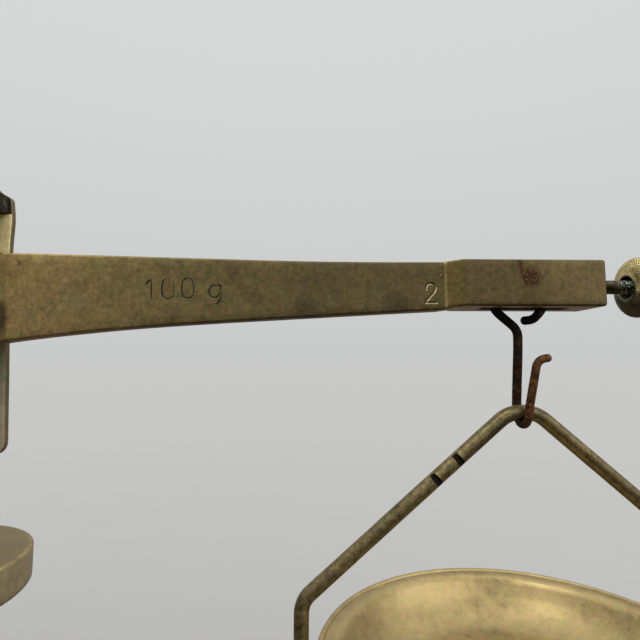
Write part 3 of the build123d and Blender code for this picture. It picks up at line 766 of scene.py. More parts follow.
def beam_half(x):
    """Half thickness in plan: thin arm, hollow fillet, flared facet, thick block."""
    x = abs(x)
    if x <= 103.0:
        return 2.3
    s = 1.10
    if x < 104.5:
        t = (x - 103.0) / 1.5
        return 2.3 + s * 1.5 * t * t / 2
    w = 2.3 + s * 0.75 + s * (x - 104.5) * 0.86
    return min(w, 5.25)


def beam_ring(x, inset=0.0):
    w, t, b = beam_half(x) - inset, beam_top(x) - inset, beam_bottom(x) + inset
    rc = max(0.5 - inset * 0.4, 0.1)
    pts = []
    nv, nh, nc = 8, 3, 4

    def arc(cy, cz, a0):
        for k in range(nc + 1):
            a = math.radians(a0 + 90.0 * k / nc)
            pts.append((x, cy + rc * math.cos(a), cz + rc * math.sin(a)))

    def line(y0, z0, y1, z1, n):
        for k in range(1, n):
            pts.append((x, y0 + (y1 - y0) * k / n, z0 + (z1 - z0) * k / n))

    arc(-w + rc, b + rc, 180)
    line(-w + rc, b, w - rc, b, nh)
    arc(w - rc, b + rc, 270)
    line(w, b + rc, w, t - rc, nv)
    arc(w - rc, t - rc, 0)
    line(w - rc, t, -w + rc, t, nh)
    arc(-w + rc, t - rc, 90)
    line(-w, t - rc, -w, b + rc, nv)
    return pts


def build_beam():
    xs = []
    x = 0.0
    while x < 102.9:
        xs.append(x)
        x += 1.1
    xs += [103.0, 103.2, 103.4, 103.6, 103.8, 104.0, 104.2, 104.35, 104.5, 104.9, 105.4, 105.9, 106.3, 106.6, 106.7, 106.82, 106.9, 107.0, 107.2, 108.0, 110.0]
    x = 112.0
    while x < 134.4:
        xs.append(x)
        x += 1.4
    xs += [134.55]
    rings = [beam_ring(v) for v in xs]
    for v, ins in ((134.8, 0.05), (135.0, 0.16), (135.13, 0.32), (135.19, 0.5)):
        rings.append([(v, p[1], p[2]) for p in beam_ring(134.55, ins)])
    half = rings
    left = [[(-p[0], p[1], p[2]) for p in r] for r in reversed(half[1:])]
    me = rings_mesh("beam_body", left + half)
    cut = []
    for k in (1, -1):
        a, b = sorted((k * 111.4, k * 129.6))
        cut.append(box_mesh(a, b, -1.8, 1.8, -9, 9))
    me = carve(me, cut)

    strokes = []

    def stroke(*pts):
        """pts are (x, z, half width); the punch bites deeper where it is wider."""
        dense = []
        for i in range(len(pts) - 1):
            for k in range(4):
                f = k / 4
                dense.append(tuple(pts[i][m] * (1 - f) + pts[i + 1][m] * f for m in range(3)))
        dense.append(pts[-1])
        for _ in range(2):
            dense = [dense[0]] + [tuple((dense[i - 1][m] + dense[i][m] * 2 + dense[i + 1][m]) / 4 for m in range(3)) for i in range(1, len(dense) - 1)] + [dense[-1]]
        strokes.append(tube_mesh("stroke", [Vector((x, -2.3 + 0.02, z)) for x, z, w in dense], [w for x, z, w in dense], seg=12))

    # capacity, struck with small round-nosed punches that bit unevenly
    stroke((44.31, -0.12, 0.22), (44.62, 0.22, 0.24), (44.9, 0.55, 0.22), (45.26, 0.80, 0.12))
    stroke((45.32, 0.55, 0.10), (45.36, -0.73, 0.15), (45.41, -1.6, 0.17), (45.47, -2.4, 0.15), (45.56, -3.25, 0.08))
    stroke((48.75, 1.02, 0.08), (48.3, 1.02, 0.10), (47.80, 0.80, 0.14), (47.52, 0.25, 0.19), (47.46, -0.5, 0.21), (47.47, -1.4, 0.20), (47.56, -2.2, 0.21), (47.98, -2.80, 0.20), (48.64, -3.13, 0.19), (49.2, -2.95, 0.14), (49.62, -2.45, 0.10))
    stroke((49.72, -2.0, 0.07), (49.82, -1.22, 0.09), (49.70, -0.2, 0.07), (49.5, 0.5, 0.07))
    stroke((52.55, 1.09, 0.15), (52.1, 1.02, 0.16), (51.66, 0.78, 0.19), (51.41, 0.19, 0.16), (51.36, -1.09, 0.15), (51.46, -2.15, 0.17), (51.86, -2.76, 0.20), (52.51, -3.0, 0.20), (53.15, -2.82, 0.18), (53.55, -2.35, 0.14))
    stroke((53.66, -2.0, 0.12), (53.72, -1.2, 0.15), (53.56, 0.1, 0.13), (53.25, 0.78, 0.14), (52.8, 1.06, 0.12))
    stroke((59.0, -0.52, 0.26), (58.75, -0.42, 0.22), (58.3, -0.31, 0.19), (57.6, -0.34, 0.18), (57.0, -0.66, 0.20), (56.68, -1.44, 0.19), (56.86, -2.2, 0.20), (57.3, -2.74, 0.22), (58.05, -2.84, 0.19), (58.55, -2.46, 0.17), (58.78, -1.9, 0.12))
    stroke((58.92, -0.7, 0.16), (59.03, -1.43, 0.17), (59.06, -2.2, 0.12), (59.02, -2.95, 0.13), (58.85, -3.5, 0.22), (58.5, -3.92, 0.24), (58.15, -4.18, 0.14))
    # arm number 2, a heavier punch with a flat foot
    stroke((100.10, -0.98, 0.24), (100.02, -0.4, 0.27), (100.31, 0.1, 0.28), (100.91, 0.36, 0.28), (101.53, 0.16, 0.30), (101.93, -0.36, 0.30), (101.93, -0.88, 0.30), (101.58, -1.53, 0.30), (100.9, -2.26, 0.30), (100.4, -2.85, 0.30), (100.05, -3.42, 0.28))
    stroke((99.85, -3.60, 0.28), (101.0, -3.62, 0.30), (102.2, -3.60, 0.26))
    stroke((102.2, -3.55, 0.18), (102.1, -2.95, 0.10))
    # arm number 1 on the other arm
    stroke((-101.6, -0.25, 0.24), (-101.2, 0.12, 0.26), (-100.95, 0.36, 0.26))
    stroke((-100.95, 0.36, 0.28), (-100.95, -1.6, 0.30), (-100.95, -3.55, 0.28))
    stroke((-101.7, -3.6, 0.24), (-100.2, -3.6, 0.26))
    # a casting pit above the number
    strokes.append(tube_mesh("pit", [Vector((102.89, -2.3, 2.21)), Vector((102.93, -2.3, 2.17))], 0.22, seg=12))
    return carve(me, strokes)


beam_mesh = build_beam()
beam = put("beam_body", beam_mesh, beam_mat, "beam", ["beam"], sharp=28)
beam.data.materials.append(groove_light_mat)
for p in beam.data.polygons:
    c = p.center * 1000
    y, z = c.y - CY, c.z - CZ
    if -2.291 < y < -1.7 and -4.4 < z < 3.0 and 40 < abs(c.x) < 103.3:
        p.material_index = 1


def pin_piece(k, side):
    """Rivet-like pin: its ends stand a hair proud, rough and slightly out of round."""
    rings = []
    prof = [(0.02, 5.30), (0.4, 5.31), (0.8, 5.305), (1.15, 5.30), (1.4, 5.29), (1.56, 5.26), (1.64, 5.18)]
    for r, y in [(r, -y) for r, y in prof] + [(1.6, -5.0), (1.6, 5.0)] + list(reversed(prof)):
        ring = []
        end = abs(y) > 5.05
        for j in range(64):
            a = 2 * math.pi * j / 64
            q = Vector((math.cos(a) * r, math.sin(a) * r, y))
            rr = r * (1.0 + 0.12 * noise.noise(q * 0.9 + Vector((4.1, 0, 0)))) if end else r
            yy = y + (0.035 * noise.noise(q * 2.3) * (1 if y > 0 else -1) if end else 0.0)
            ring.append((k * ARM + rr * math.cos(a), yy, PIN_Z + rr * (1.08 if end else 1.0) * math.sin(a)))
        rings.append(ring)
    put("end_pin_piece_" + side, rings_mesh("pin", rings), pin_mat, "beam", ["end_pin_" + side], sharp=50)


def stud_piece(k, side):
    rings = []
    pitch, depth = 0.5, 0.27
    x = 130.6
    seg = 40
    while x < 151.05:
        fade = min(1.0, (151.2 - x) / 0.5)
        ring = []
        for j in range(seg):
            a = 2 * math.pi * j / seg
            ph = ((x / pitch) - j / seg) % 1.0
            tri = abs(ph - 0.5) * 2.0
            tri = min(1.0, tri * 1.25)
            r = (1.475 - depth * tri) * (0.72 + 0.28 * fade)
            ring.append((k * x, r * math.cos(a), r * math.sin(a) * k))
        rings.append(ring)
        x += pitch / 8
    put("stud_piece_" + side, rings_mesh("stud", rings), dark_steel, "beam", ["stud_" + side], sharp=60)


NUT_X, NUT_HALF, NUT_R = 145.0, 2.72, 6.32


def nut_piece(k, side):
    n = 60
    s0 = (1 - (2.45 / NUT_R) ** 2.5) ** 0.4
    end = NUT_HALF * s0
    prof = []
    for i in range(2 * n + 1):
        u = math.sin(math.radians(90.0 * (i - n) / n)) * s0
        prof.append((NUT_R * (1 - abs(u) ** 2.5) ** 0.4, NUT_HALF * u))
    # even steps along the curve, so that the crossed grooves keep one pitch
    acc = [0.0]
    for i in range(1, len(prof)):
        acc.append(acc[-1] + math.dist(prof[i], prof[i - 1]))
    total, even, i = acc[-1], [], 0
    steps = int(total / 0.085)
    for m in range(steps + 1):
        q = total * m / steps
        while i < len(acc) - 2 and acc[i + 1] < q:
            i += 1
        f = (q - acc[i]) / max(acc[i + 1] - acc[i], 1e-9)
        even.append((prof[i][0] * (1 - f) + prof[i + 1][0] * f, prof[i][1] * (1 - f) + prof[i + 1][1] * f, q))
    teeth, pitch, seg = 50, 0.74, 50 * 8
    rings, depth = [], []
    for i, (r, h, q) in enumerate(even):
        a0, a1 = even[max(i - 1, 0)], even[min(i + 1, len(even) - 1)]
        t = Vector((a1[0] - a0[0], a1[1] - a0[1])).normalized()
        nr, nh = -t.y, t.x
        if nr < 0:
            nr, nh = -nr, -nh
        fade = max(0.0, min(1.0, (r - 2.75) / 0.7))
        ring = []
        for j in range(seg):
            a = 2 * math.pi * j / seg
            w = a * teeth / (2 * math.pi)
            g1 = abs(((w + q / pitch) % 1.0) - 0.5) * 2
            g2 = abs(((w - q / pitch) % 1.0) - 0.5) * 2
            d = 0.19 * fade * max(0.0, max(g1, g2) - 0.42) / 0.58
            depth.append(d / 0.19)
            d += 0.03 * fade * noise.noise(Vector((math.cos(a) * r * 0.9, math.sin(a) * r * 0.9, h * 0.9)))
            rr = r - d * nr
            ring.append((k * (NUT_X + h - d * nh), rr * math.cos(a), rr * math.sin(a)))
        rings.append(ring)
    for r, h in ((2.34, end - 0.10), (1.6, end - 0.85), (1.56, end - 1.0), (1.56, -end + 1.0), (1.6, -end + 0.85), (2.34, -end + 0.10)):
        rings.append([(k * (NUT_X + h), r * math.cos(2 * math.pi * j / seg), r * math.sin(2 * math.pi * j / seg)) for j in range(seg)])
    me = rings_mesh("nut", rings, closed_path=True)
    groove_dark = me.attributes.new("groove", "FLOAT", "POINT")
    groove_dark.data.foreach_set("value", depth + [0.0] * (len(me.vertices) - len(depth)))
    put("balance_nut_piece_" + side, me, nut_mat, "nut_" + side, ["balance_nut_" + side], sharp=70)


def hook_path(k):
    cx, cz, r = 119.45, -1.48, 5.4
    ring = [(120.75, 0, -6.98), (122.5, 0, -6.82)]
    kk = r / math.cos(math.radians(36))
    for a in (-18, 54, 126, 198):
        ring.append((cx + kk * math.cos(math.radians(a)), 0, cz + kk * math.sin(math.radians(a))))
    ring += [(119.3, 0, -8.95), (119.25, 0.1, -13.0), (HOOK_X, 2.5, -23.3),
             (HOOK_X, 2.5, BAIL_Z - 2.12), (HOOK_X, -2.42, BAIL_Z - 2.12),
             (119.95, -2.66, -24.2), (121.35, -3.7, -15.1), (123.55, -3.6, -14.65)]
    radii = [2.6] + [r - 0.02] * 4 + [3.0, 12.0, 6.0, 2.45, 2.45, 3.0, 2.0]
    return bent_path([(k * x, y, z) for x, y, z in ring], radii, step=6.0, line=0.8)


def hook_piece(k, side):
    path = hook_path(k)
    rr = [0.93 - 0.12 * max(0.0, min(1.0, (0.6 - p[1]) / 2.6)) for p in path]
    me = tube_mesh("hook", path, rr, seg=22, wobble=0.03, seed=3.0 + k)
    put("hook_piece_" + side, me, rust_mat, "hook_" + side, ["hook_" + side], sharp=60)


def bail_piece(k, side):
    h = BAIL_HALF
    c1 = BAIL_VZ - h * math.tan(BAIL_ANGLE)
    apex_r = (BAIL_VZ - BAIL_Z - 0.31) / (1 / math.cos(BAIL_ANGLE) - 1)
    pts = [(-RING_R + 0.2, RING_Z), (-h, RING_Z), (-h, c1), (0, BAIL_VZ), (h, c1), (h, RING_Z), (RING_R - 0.2, RING_Z)]
    path = bent_path([(k * HOOK_X + x, 0, z) for x, z in pts], [2.4, 5.0, apex_r, 5.0, 2.4], step=5.0, line=1.2)
    arch = tube_mesh("arch", path, 1.475, seg=28, ends=("flat", "flat"), wobble=0.02, seed=9.0)
    # tally nicks filed across the inner leg
    cuts = []
    d = Vector((math.cos(BAIL_ANGLE), 0, math.sin(BAIL_ANGLE)))
    nrm = Vector((-d.z, 0, d.x))
    for (x, z) in ([(105.85, -34.35), (101.35, -38.2)] if k > 0 else [(-105.85, -34.35)]):
        dd, nn = d.copy(), nrm.copy()
        if k < 0:
            dd.x, nn.x = -dd.x, -nn.x
        t = (x - k * HOOK_X) * dd.x + (z - BAIL_VZ) * dd.z
        c = Vector((k * HOOK_X, 0, BAIL_VZ)) + dd * t
        tri = []
        for a, b in ((-0.34, -0.72), (0.30, -0.72), (1.05, -2.2), (-1.0, -2.2)):
            tri.append((a, b))
        verts = []
        for s in (-2.4, 2.4):
            for a, b in tri:
                p = c + dd * a + nn * s
                verts.append((p.x, b, p.z))
        faces = [(0, 1, 2, 3), (7, 6, 5, 4), (0, 4, 5, 1), (1, 5, 6, 2), (2, 6, 7, 3), (3, 7, 4, 0)]
        cuts.append(raw_mesh("nick", verts, faces))
    arch = carve(arch, cuts)
    ring = []
    n = 120
    for i in range(n):
        a = 2 * math.pi * i / n
        ring.append(Vector((k * HOOK_X + RING_R * math.cos(a), RING_R * math.sin(a), RING_Z)))
    hoop = tube_mesh("hoop", ring, 1.49, seg=24, closed=True)
    parts = [arch, hoop]
    for s in (-1, 1):      # brazed joints
        prof = [(0.02, RING_Z - 1.62)]
        c = k * HOOK_X + s * (RING_R + 1.3)
        blob = []
        for i in range(13):
            a = math.radians(-90 + 15 * i)
            ringp = []
            for j in range(20):
                b = 2 * math.pi * j / 20
                w = 1 + 0.06 * noise.noise(Vector((a * 2, b, s)))
                ringp.append((c + 1.75 * w * math.cos(a) * math.cos(b), 2.3 * w * math.cos(a) * math.sin(b) if abs(a) < 1.57 else 0.0, RING_Z + 1.55 * math.sin(a)))
            blob.append(ringp)
        parts.append(rings_mesh("braze", blob))
    put("bail_piece_" + side, join("bail", parts), wire_mat, "bail_" + side, ["bail_" + side], sharp=40)


def pan_piece(k, side):
    z = RING_Z + 1.5
    d, t = 9.0, 0.8
    bead = [(41.35 + 0.62 * math.cos(math.radians(a)), z + 0.42 + 0.42 * math.sin(math.radians(a))) for a in range(-90, 181, 18)]
    outer = [(0.02, z - d + 0.28), (6.0, z - d + 0.22), (18.0, z - d + 0.05), (25.0, z - d), (27.2, z - d + 0.12), (29.3, z - d + 0.6), (31.6, z - d + 1.7), (34.2, z - 5.5), (36.0, z - 3.0), (37.1, z - 1.2), (37.5, z - 0.5), (38.1, z - 0.08), (39.0, z + 0.0)]
    inner = [(39.0, z + 0.72), (37.9, z + 0.66), (37.0, z + 0.15), (36.3, z - 0.9), (35.2, z - 2.7), (33.4, z - 5.0), (31.0, z - d + 2.3), (28.9, z - d + 1.35), (26.9, z - d + 0.9), (25.0, z - d + 0.8), (18.0, z - d + 0.85), (6.0, z - d + 1.02), (0.02, z - d + 1.08)]
    prof = outer + bead + inner
    put("pan_piece_" + side, lathe_mesh("pan", prof, "Z", (k * HOOK_X, 0), seg=144), pan_mats[side], "pan_" + side, ["pan_" + side], sharp=50)


for side, k in (("right", 1), ("left", -1)):
    pin_piece(k, side)
    stud_piece(k, side)
    nut_piece(k, side)
    hook_piece(k, side)
    bail_piece(k, side)
    pan_piece(k, side)


# ------------------------------------------------------------------ fork
OUTLINE = [(7.0, 22.98), (7.4, 22.85), (7.85, 22.4), (8.5, 21.8), (9.15, 21.35), (9.7, 21.05), (10.25, 20.85), (10.58, 20.62), (10.78, 20.25), (10.88, 19.7),
           (11.0, 18.7), (11.18, 17.2), (11.28, 15.5), (11.24, 13.5), (11.14, 11.5), (11.12, 9.5), (11.13, 7.0), (11.2, 2.0), (11.3, -4.0), (11.5, -12.0), (11.8, -18.5),
           (12.05, -25.0), (12.33, -31.5), (12.36, -32.3), (12.28, -33.1), (11.95, -33.9), (11.4, -34.5), (10.7, -34.85), (9.8, -34.97)]


def plate_mesh(outline, y0, y1, edge=0.22):
    """Flat plate in the XZ plane with a small round on both outer edges."""
    n = len(outline)
    cen = Vector((0.0, 0.0))
    inner = []
    for i, (x, z) in enumerate(outline):
        ax, az = outline[i - 1]
        bx, bz = outline[(i + 1) % n]
        t = Vector((bx - ax, bz - az)).normalized()
        nn = Vector((t.y, -t.x))
        if nn.dot(Vector((x, z)) - Vector((0, -6))) < 0:
            nn = -nn
        inner.append(nn)
    rings = []
    for y, ins in ((y0, edge), (y0 + edge * 0.3, edge * 0.3), (y0 + edge, 0.0), (y1 - edge, 0.0), (y1 - edge * 0.3, edge * 0.3), (y1, edge)):
        rings.append([(x - nn.x * ins, y, z - nn.y * ins) for (x, z), nn in zip(outline, inner)])
    return rings_mesh("plate", rings)


def build_fork():
    full = OUTLINE + [(-x, z) for x, z in reversed(OUTLINE)]
    rear = plate_mesh(full, 8.0, 9.5)
    front = plate_mesh([(x, z) for x, z in full][::-1], -9.5, -8.0)
    top = [(x, z) for x, z in OUTLINE if z > 17.4]
    top = [(min(x, 10.45), z) for x, z in top] + [(10.45, 17.25), (10.3, 17.03)]
    keep = []
    for q in top:
        if not keep or (abs(q[0] - keep[-1][0]) + abs(q[1] - keep[-1][1])) > 0.05:
            keep.append(q)
    br = keep + [(-x, z) for x, z in reversed(keep)]
    rings = [[(x, y, z) for x, z in br] for y in (-8.05, -6, -4, -2, 0, 2, 4, 6, 8.05)]
    bridge = rings_mesh("bridge", rings)
    me = carve(rear, [front, bridge], "UNION")
    return carve(me, [box_mesh(-3.8, 3.8, -1.8, 1.6, 12, 26)])


put("fork_body", build_fork(), fork_mat, "lift", ["fork"], sharp=34)


# ------------------------------------------------------------------ turned pieces
def arc_pts(cr, cz, r, a0, a1, n=8):
    return [(cr + r * math.cos(math.radians(a0 + (a1 - a0) * i / n)), cz + r * math.sin(math.radians(a0 + (a1 - a0) * i / n))) for i in range(n + 1)]


t = -53.0
cap = [(4.12, t - 4.0), (4.12, t - 0.3), (4.4, t), (8.0, t), (12.0, t), (16.0, t), (20.35, t)] + arc_pts(20.4, t - 0.6, 0.6, 84, 0, 7) + [(21.0, t - 3.0), (21.0, t - 5.4)] \
    + arc_pts(20.2, t - 6.2, 0.8, 0, -90, 5) + [(17.0, t - 7.0)] + arc_pts(17.0, t - 11.2, 4.2, 90, 180, 10)[1:] + [(12.6, t - 11.6), (12.3, t - 12.3), (10.05, t - 12.4), (10.05, t - 4.0), (4.12, t - 4.0)]
put("column_cap_piece", lathe_mesh("cap", cap, "Z", (0, 0), 128), cap_mat, "stand", ["column_cap"], sharp=35)

z0, z1 = BZ + 31.0, t - 4.1
tube = [(6.0, z0), (10.0, z0), (10.0, BZ + 38.6), (10.0, z1), (6.0, z1), (6.0, z0)]
tube = [(6.0, z0)] + [(10.0, z0 + (z1 - z0) * i / 12) for i in range(13)] + [(6.0, z1), (6.0, z0)]
put("column_tube_piece", lathe_mesh("tube", tube, "Z", (0, 0), 96), cap_mat, "stand", ["column_tube"], sharp=35)

z = BZ + 28.0
fl = [(6.0, z), (26.6, z)] + arc_pts(26.0, z + 2.4, 1.0, -60, 90, 8) + [(24.6, z + 3.45), (24.4, z + 4.0)] + arc_pts(22.4, z + 3.6, 1.4, 20, 90, 6) \
    + [(16.4, z + 5.1), (15.9, z + 5.4)] + arc_pts(17.3, z + 9.0, 3.6, 265, 182, 8) + [(13.2, z + 9.2), (12.4, z + 9.6), (10.04, z + 9.6), (10.04, z + 3.0), (6.0, z + 3.0), (6.0, z)]
flange = lathe_mesh("flange", fl, "Z", (0, 0), 128)
cut = []
for i in range(3):
    a = math.radians(90 + 120 * i)
    cut.append(lathe_mesh("cs", [(0.02, z + 3.4), (3.0, z + 3.4), (3.0, z + 12), (0.02, z + 12)], "Z", (20 * math.cos(a), 20 * math.sin(a)), 32))
flange = carve(flange, cut)
put("column_flange_piece", flange, cap_mat, "stand", ["column_flange"], sharp=35)

rf = [(0.02, BZ), (7.4, BZ)] + arc_pts(7.6, BZ + 1.4, 1.4, -90, 0, 6) + [(9.0, BZ + 3.4)] + arc_pts(8.0, BZ + 4.2, 1.0, 0, 70, 5) + [(6.9, BZ + 6.2), (6.6, BZ + 7.0), (6.6, BZ + 8.0), (3.0, BZ + 8.0), (3.0, BZ + 20.0), (0.02, BZ + 20.0)]
put("rear_foot_piece", lathe_mesh("rearfoot", rf, "Z", (0, 46.0), 72), foot_mat, "stand", ["rear_foot"], sharp=35)


def straight_knurl(r0, depth, teeth, lo, hi, soft=0.6):
    def f(r, h, a):
        if r < r0 - 0.05:
            return r
        e = max(0.0, min(1.0, (h - lo) / soft)) * max(0.0, min(1.0, (hi - h) / soft))
        w = (a * teeth / (2 * math.pi)) % 1.0
        return r - depth * e * abs(w - 0.5) * 2
    return f


for side, k in (("right", 1), ("left", -1)):
    head = [(0.02, BZ), (8.0, BZ)] + arc_pts(8.2, BZ + 0.8, 0.8, -90, 0, 4) + [(9.0, BZ + 1.0 + 0.4 * i) for i in range(9)] + arc_pts(8.2, BZ + 4.4, 0.8, 0, 90, 4) + [(4.2, BZ + 5.2)]
    thread = []
    x = BZ + 5.2
    while x < BZ + 22.0:
        thread.append((3.0, x))
        x += 0.25
    th_mesh = []
    seg = 36
    for r, h in thread:
        ring = []
        for j in range(seg):
            a = 2 * math.pi * j / seg
            ph = (h - j / seg) % 1.0
            rr = 3.0 - 0.5 * min(1.0, abs(ph - 0.5) * 2.3)
            ring.append((k * 110.0 + rr * math.cos(a), -46.0 + rr * math.sin(a), h))
        th_mesh.append(ring)
    me = join("lev", [lathe_mesh("levhead", head + [(0.02, BZ + 5.2)], "Z", (k * 110.0, -46.0), 60 * 4, ripple=straight_knurl(9.0, 0.35, 60, BZ + 0.9, BZ + 4.5)), rings_mesh("levthread", th_mesh)])
    put("levelling_screw_piece_" + side, me, foot_mat, "screw_" + side, ["levelling_screw_" + side], sharp=45)

# knob and shaft bush on the front of the base, then the lift rod
f = -62.2
kn = [(0.02, f - 14.6), (3.6, f - 14.55), (7.4, f - 14.1)] + arc_pts(9.6, f - 12.9, 1.4, 250, 180, 4)[::-1][:0] + [(9.6, f - 13.4), (10.6, f - 12.7), (11.0, f - 11.9)] \
    + [(11.0, f - 11.6 + 0.55 * i) for i in range(11)] + [(10.7, f - 5.0), (9.6, f - 4.5), (7.2, f - 3.7), (5.6, f - 3.0), (5.2, f - 2.2), (5.2, f - 0.2), (5.0, f), (3.02, f), (3.02, f - 11.8), (0.02, f - 11.8)]
put("control_knob_piece", lathe_mesh("knob", kn, "Y", (0, BZ + 18.5), 48 * 5, ripple=lambda r, h, a: straight_knurl(11.0, 0.4, 48, f - 12.0, f - 5.6)(r, h, a)), foot_mat, "knob", ["control_knob"], sharp=40)
bu = [(3.06, -61.4), (3.3, -61.5), (6.6, -61.5)] + arc_pts(6.9, -60.8, 0.7, 270, 360, 5) + [(7.6, -60.0), (4.5, -60.0), (4.5, -11.8), (3.06, -11.8), (3.06, -61.4)]
put("shaft_bush_piece", lathe_mesh("bush", bu, "Y", (0, BZ + 18.5), 64), foot_mat, "stand", ["shaft_bush"], sharp=35)

rod = [(0.02, BZ + 23.0), (3.6, BZ + 23.0), (4.0, BZ + 23.4)] + [(4.0, BZ + 30.0 + 5 * i) for i in range(15)] + [(4.0, BZ + 107.0), (0.02, BZ + 107.0)]
put("lift_rod_piece", lathe_mesh("rod", rod, "Z", (0, 0), 48), rod_steel, "lift", ["lift_rod"], sharp=40)

pt = [(0.02, 8.6), (1.0, 8.6), (1.0, 10.6), (1.3, 10.75), (1.42, 11.2), (1.42, 11.7), (1.2, 12.2), (0.95, 12.5), (0.82, 13.2), (0.62, 18.0), (0.42, 24.0), (0.22, 28.6), (0.05, 29.45)]
put("pointer_piece", lathe_mesh("pointer", pt, "Z", (0, 0), 32), dark_steel, "beam", ["pointer"], sharp=40)


# ------------------------------------------------------------------ base board
def rounded_rect(hx, hy, r, n=8, per=10):
    pts = []
    for cx, cy, a0 in ((hx - r, hy - r, 0), (-hx + r, hy - r, 90), (-hx + r, -hy + r, 180), (hx - r, -hy + r, 270)):
        for i in range(n + 1):
            a = math.radians(a0 + 90 * i / n)
            pts.append((cx + r * math.cos(a), cy + r * math.sin(a)))
    out = []
    for i, p in enumerate(pts):
        q = pts[(i + 1) % len(pts)]
        d = math.dist(p, q)
        m = max(1, int(d / per))
        for j in range(m):
            out.append((p[0] + (q[0] - p[0]) * j / m, p[1] + (q[1] - p[1]) * j / m))
    return out


def build_board():
    prof = [(1.0, 8.0), (0.3, 8.25), (0.0, 9.0), (0.0, 13.0), (0.0, 18.0), (0.0, 21.5)]
    prof += [(0.55, 22.1), (0.95, 22.3)]
    for i in range(9):
        a = math.radians(90 * i / 8)
        prof.append((0.95 + 4.6 * (1 - math.cos(a)), 22.6 + 4.6 * math.sin(a)))
    prof += [(6.0, 27.35), (6.35, 27.85), (6.9, 28.0)]
    rings = []
    for inset, h in prof:
        rings.append([(x, y, BZ + h) for x, y in rounded_rect(125 - inset, 60 - inset, max(6.0 - inset * 0.6, 1.5))])
    me = rings_mesh("board", rings)
    cuts = [lathe_mesh("c", [(0.02, BZ + 11), (11.5, BZ + 11), (11.5, BZ + 30), (0.02, BZ + 30)], "Z", (0, 0), 48),
            lathe_mesh("c", [(0.02, -70), (4.5, -70), (4.5, -8.0), (0.02, -8.0)], "Y", (0, BZ + 18.5), 32)]
    for k in (-1, 1):
        cuts.append(lathe_mesh("c", [(0.02, BZ + 2), (5.0, BZ + 2), (5.0, BZ + 25.0), (0.02, BZ + 25.0)], "Z", (k * 110.0, -46.0), 32))
    return carve(me, cuts)


put("base_board_piece", build_board(), wood_mat, "stand", ["base_board"], sharp=35)


# ------------------------------------------------------------------ dial marks
marks = []
for i in range(-5, 6):
    a = math.radians(i * 3.6)
    r0, r1 = (22.2, 26.4) if i % 5 == 0 else (23.6, 26.0)
    w = 0.16 if i % 5 == 0 else 0.11
    c, s = math.cos(a), math.sin(a)
    v = []
    for y in (1.86, 1.95):
        for rr, ww in ((r0, -w), (r0, w), (r1, w), (r1, -w)):
            v.append((rr * s + ww * c, y, 3.0 + rr * c - ww * s))
    marks.append(raw_mesh("mark", v, [(0, 1, 2, 3), (7, 6, 5, 4), (0, 4, 5, 1), (1, 5, 6, 2), (2, 6, 7, 3), (3, 7, 4, 0)]))
ink = Tree("dial_ink")
ink_mat = ink.done(ink.ramp(ink.noise(3.0, 3), (0.3, (0.010, 0.010, 0.010)), (0.7, (0.035, 0.03, 0.026))), ink.remap(ink.noise(6.0), 0.3, 0.7, 0.45, 0.7), 0.0,
                   ink.bump(ink.noise(9.0, 2), 0.3, 0.02))
put("dial_marks", join("marks", marks), ink_mat, "lift", (), sharp=30)

# ------------------------------------------------------------------ CAD pieces that stay, with finished materials
for node, mat in {
    "levelling_insert_left": foot_mat, "levelling_insert_right": foot_mat, "flange_screws": screw_steel, "control_shaft": rod_steel,
    "crank_pin": bright_steel, "lift_yoke": hidden_brass, "fork_carrier": hidden_brass, "fork_screws": screw_steel,
    "bearing_front": bright_steel, "bearing_rear": bright_steel, "scale_plate": dial_mat, "scale_screws": screw_steel, "centre_knife": bright_steel,
}.items():
    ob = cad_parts[node]
    if not ob.material_slots:
        ob.data.materials.append(mat)
    for s in ob.material_slots:
        s.material = mat


# ------------------------------------------------------------------ floor, light, camera
def paper_floor():
    """A very wide sheet of pale paper, with painted shade that makes it a touch deeper in tone close to the object."""
    seg = 96
    radii = [0.05, 0.15, 0.3, 0.5, 0.8, 1.3, 2.2, 4.0, 8.0, 20.0, 60.0, 200.0]
    verts, faces = [(0.0, 0.0, 0.0)], []
    for r in radii:
        for j in range(seg):
            a = 2 * math.pi * j / seg
            verts.append((r * math.cos(a), r * math.sin(a), 0.0))
    for j in range(seg):
        faces.append((0, 1 + j, 1 + (j + 1) % seg))
    for i in range(len(radii) - 1):
        for j in range(seg):
            k = (j + 1) % seg
            faces.append((1 + i * seg + j, 1 + (i + 1) * seg + j, 1 + (i + 1) * seg + k, 1 + i * seg + k))
    me = bpy.data.meshes.new("floor")
    me.from_pydata(verts, [], faces)
    ob = bpy.data.objects.new("floor", me)
    bpy.context.scene.collection.objects.link(ob)
    t = Tree("paper_floor")
    o = t.xyz()
    r = t.math("SQRT", t.math("ADD", t.math("MULTIPLY", o[0], o[0]), t.math("MULTIPLY", o[1], o[1])))
    # painted shade: darker close to the object, paler far off
    tone = t.ramp(t.math("DIVIDE", r, t.math("ADD", r, 700.0)), (0.2, tuple(FLOOR * k for k in (0.90, 0.908, 0.92))), (0.55, tuple(FLOOR * k for k in (0.985, 1.0, 1.02))), (1.0, (FLOOR, FLOOR * 1.018, FLOOR * 1.045)))
    c = t.mix(t.remap(t.noise(0.03, 4), 0.35, 0.65, 0.0, 0.02), tone, (0.6, 0.6, 0.6))
    me.materials.append(t.done(c, t.remap(t.noise(0.5, 3), 0.3, 0.7, 0.9, 1.0), 0.0, None, 0.0))
    # the underside of the object looks down on a dark bench in the room, not on the paper
    ob.visible_diffuse = False
    ob.visible_glossy = False


FLOOR = 0.41
paper_floor()


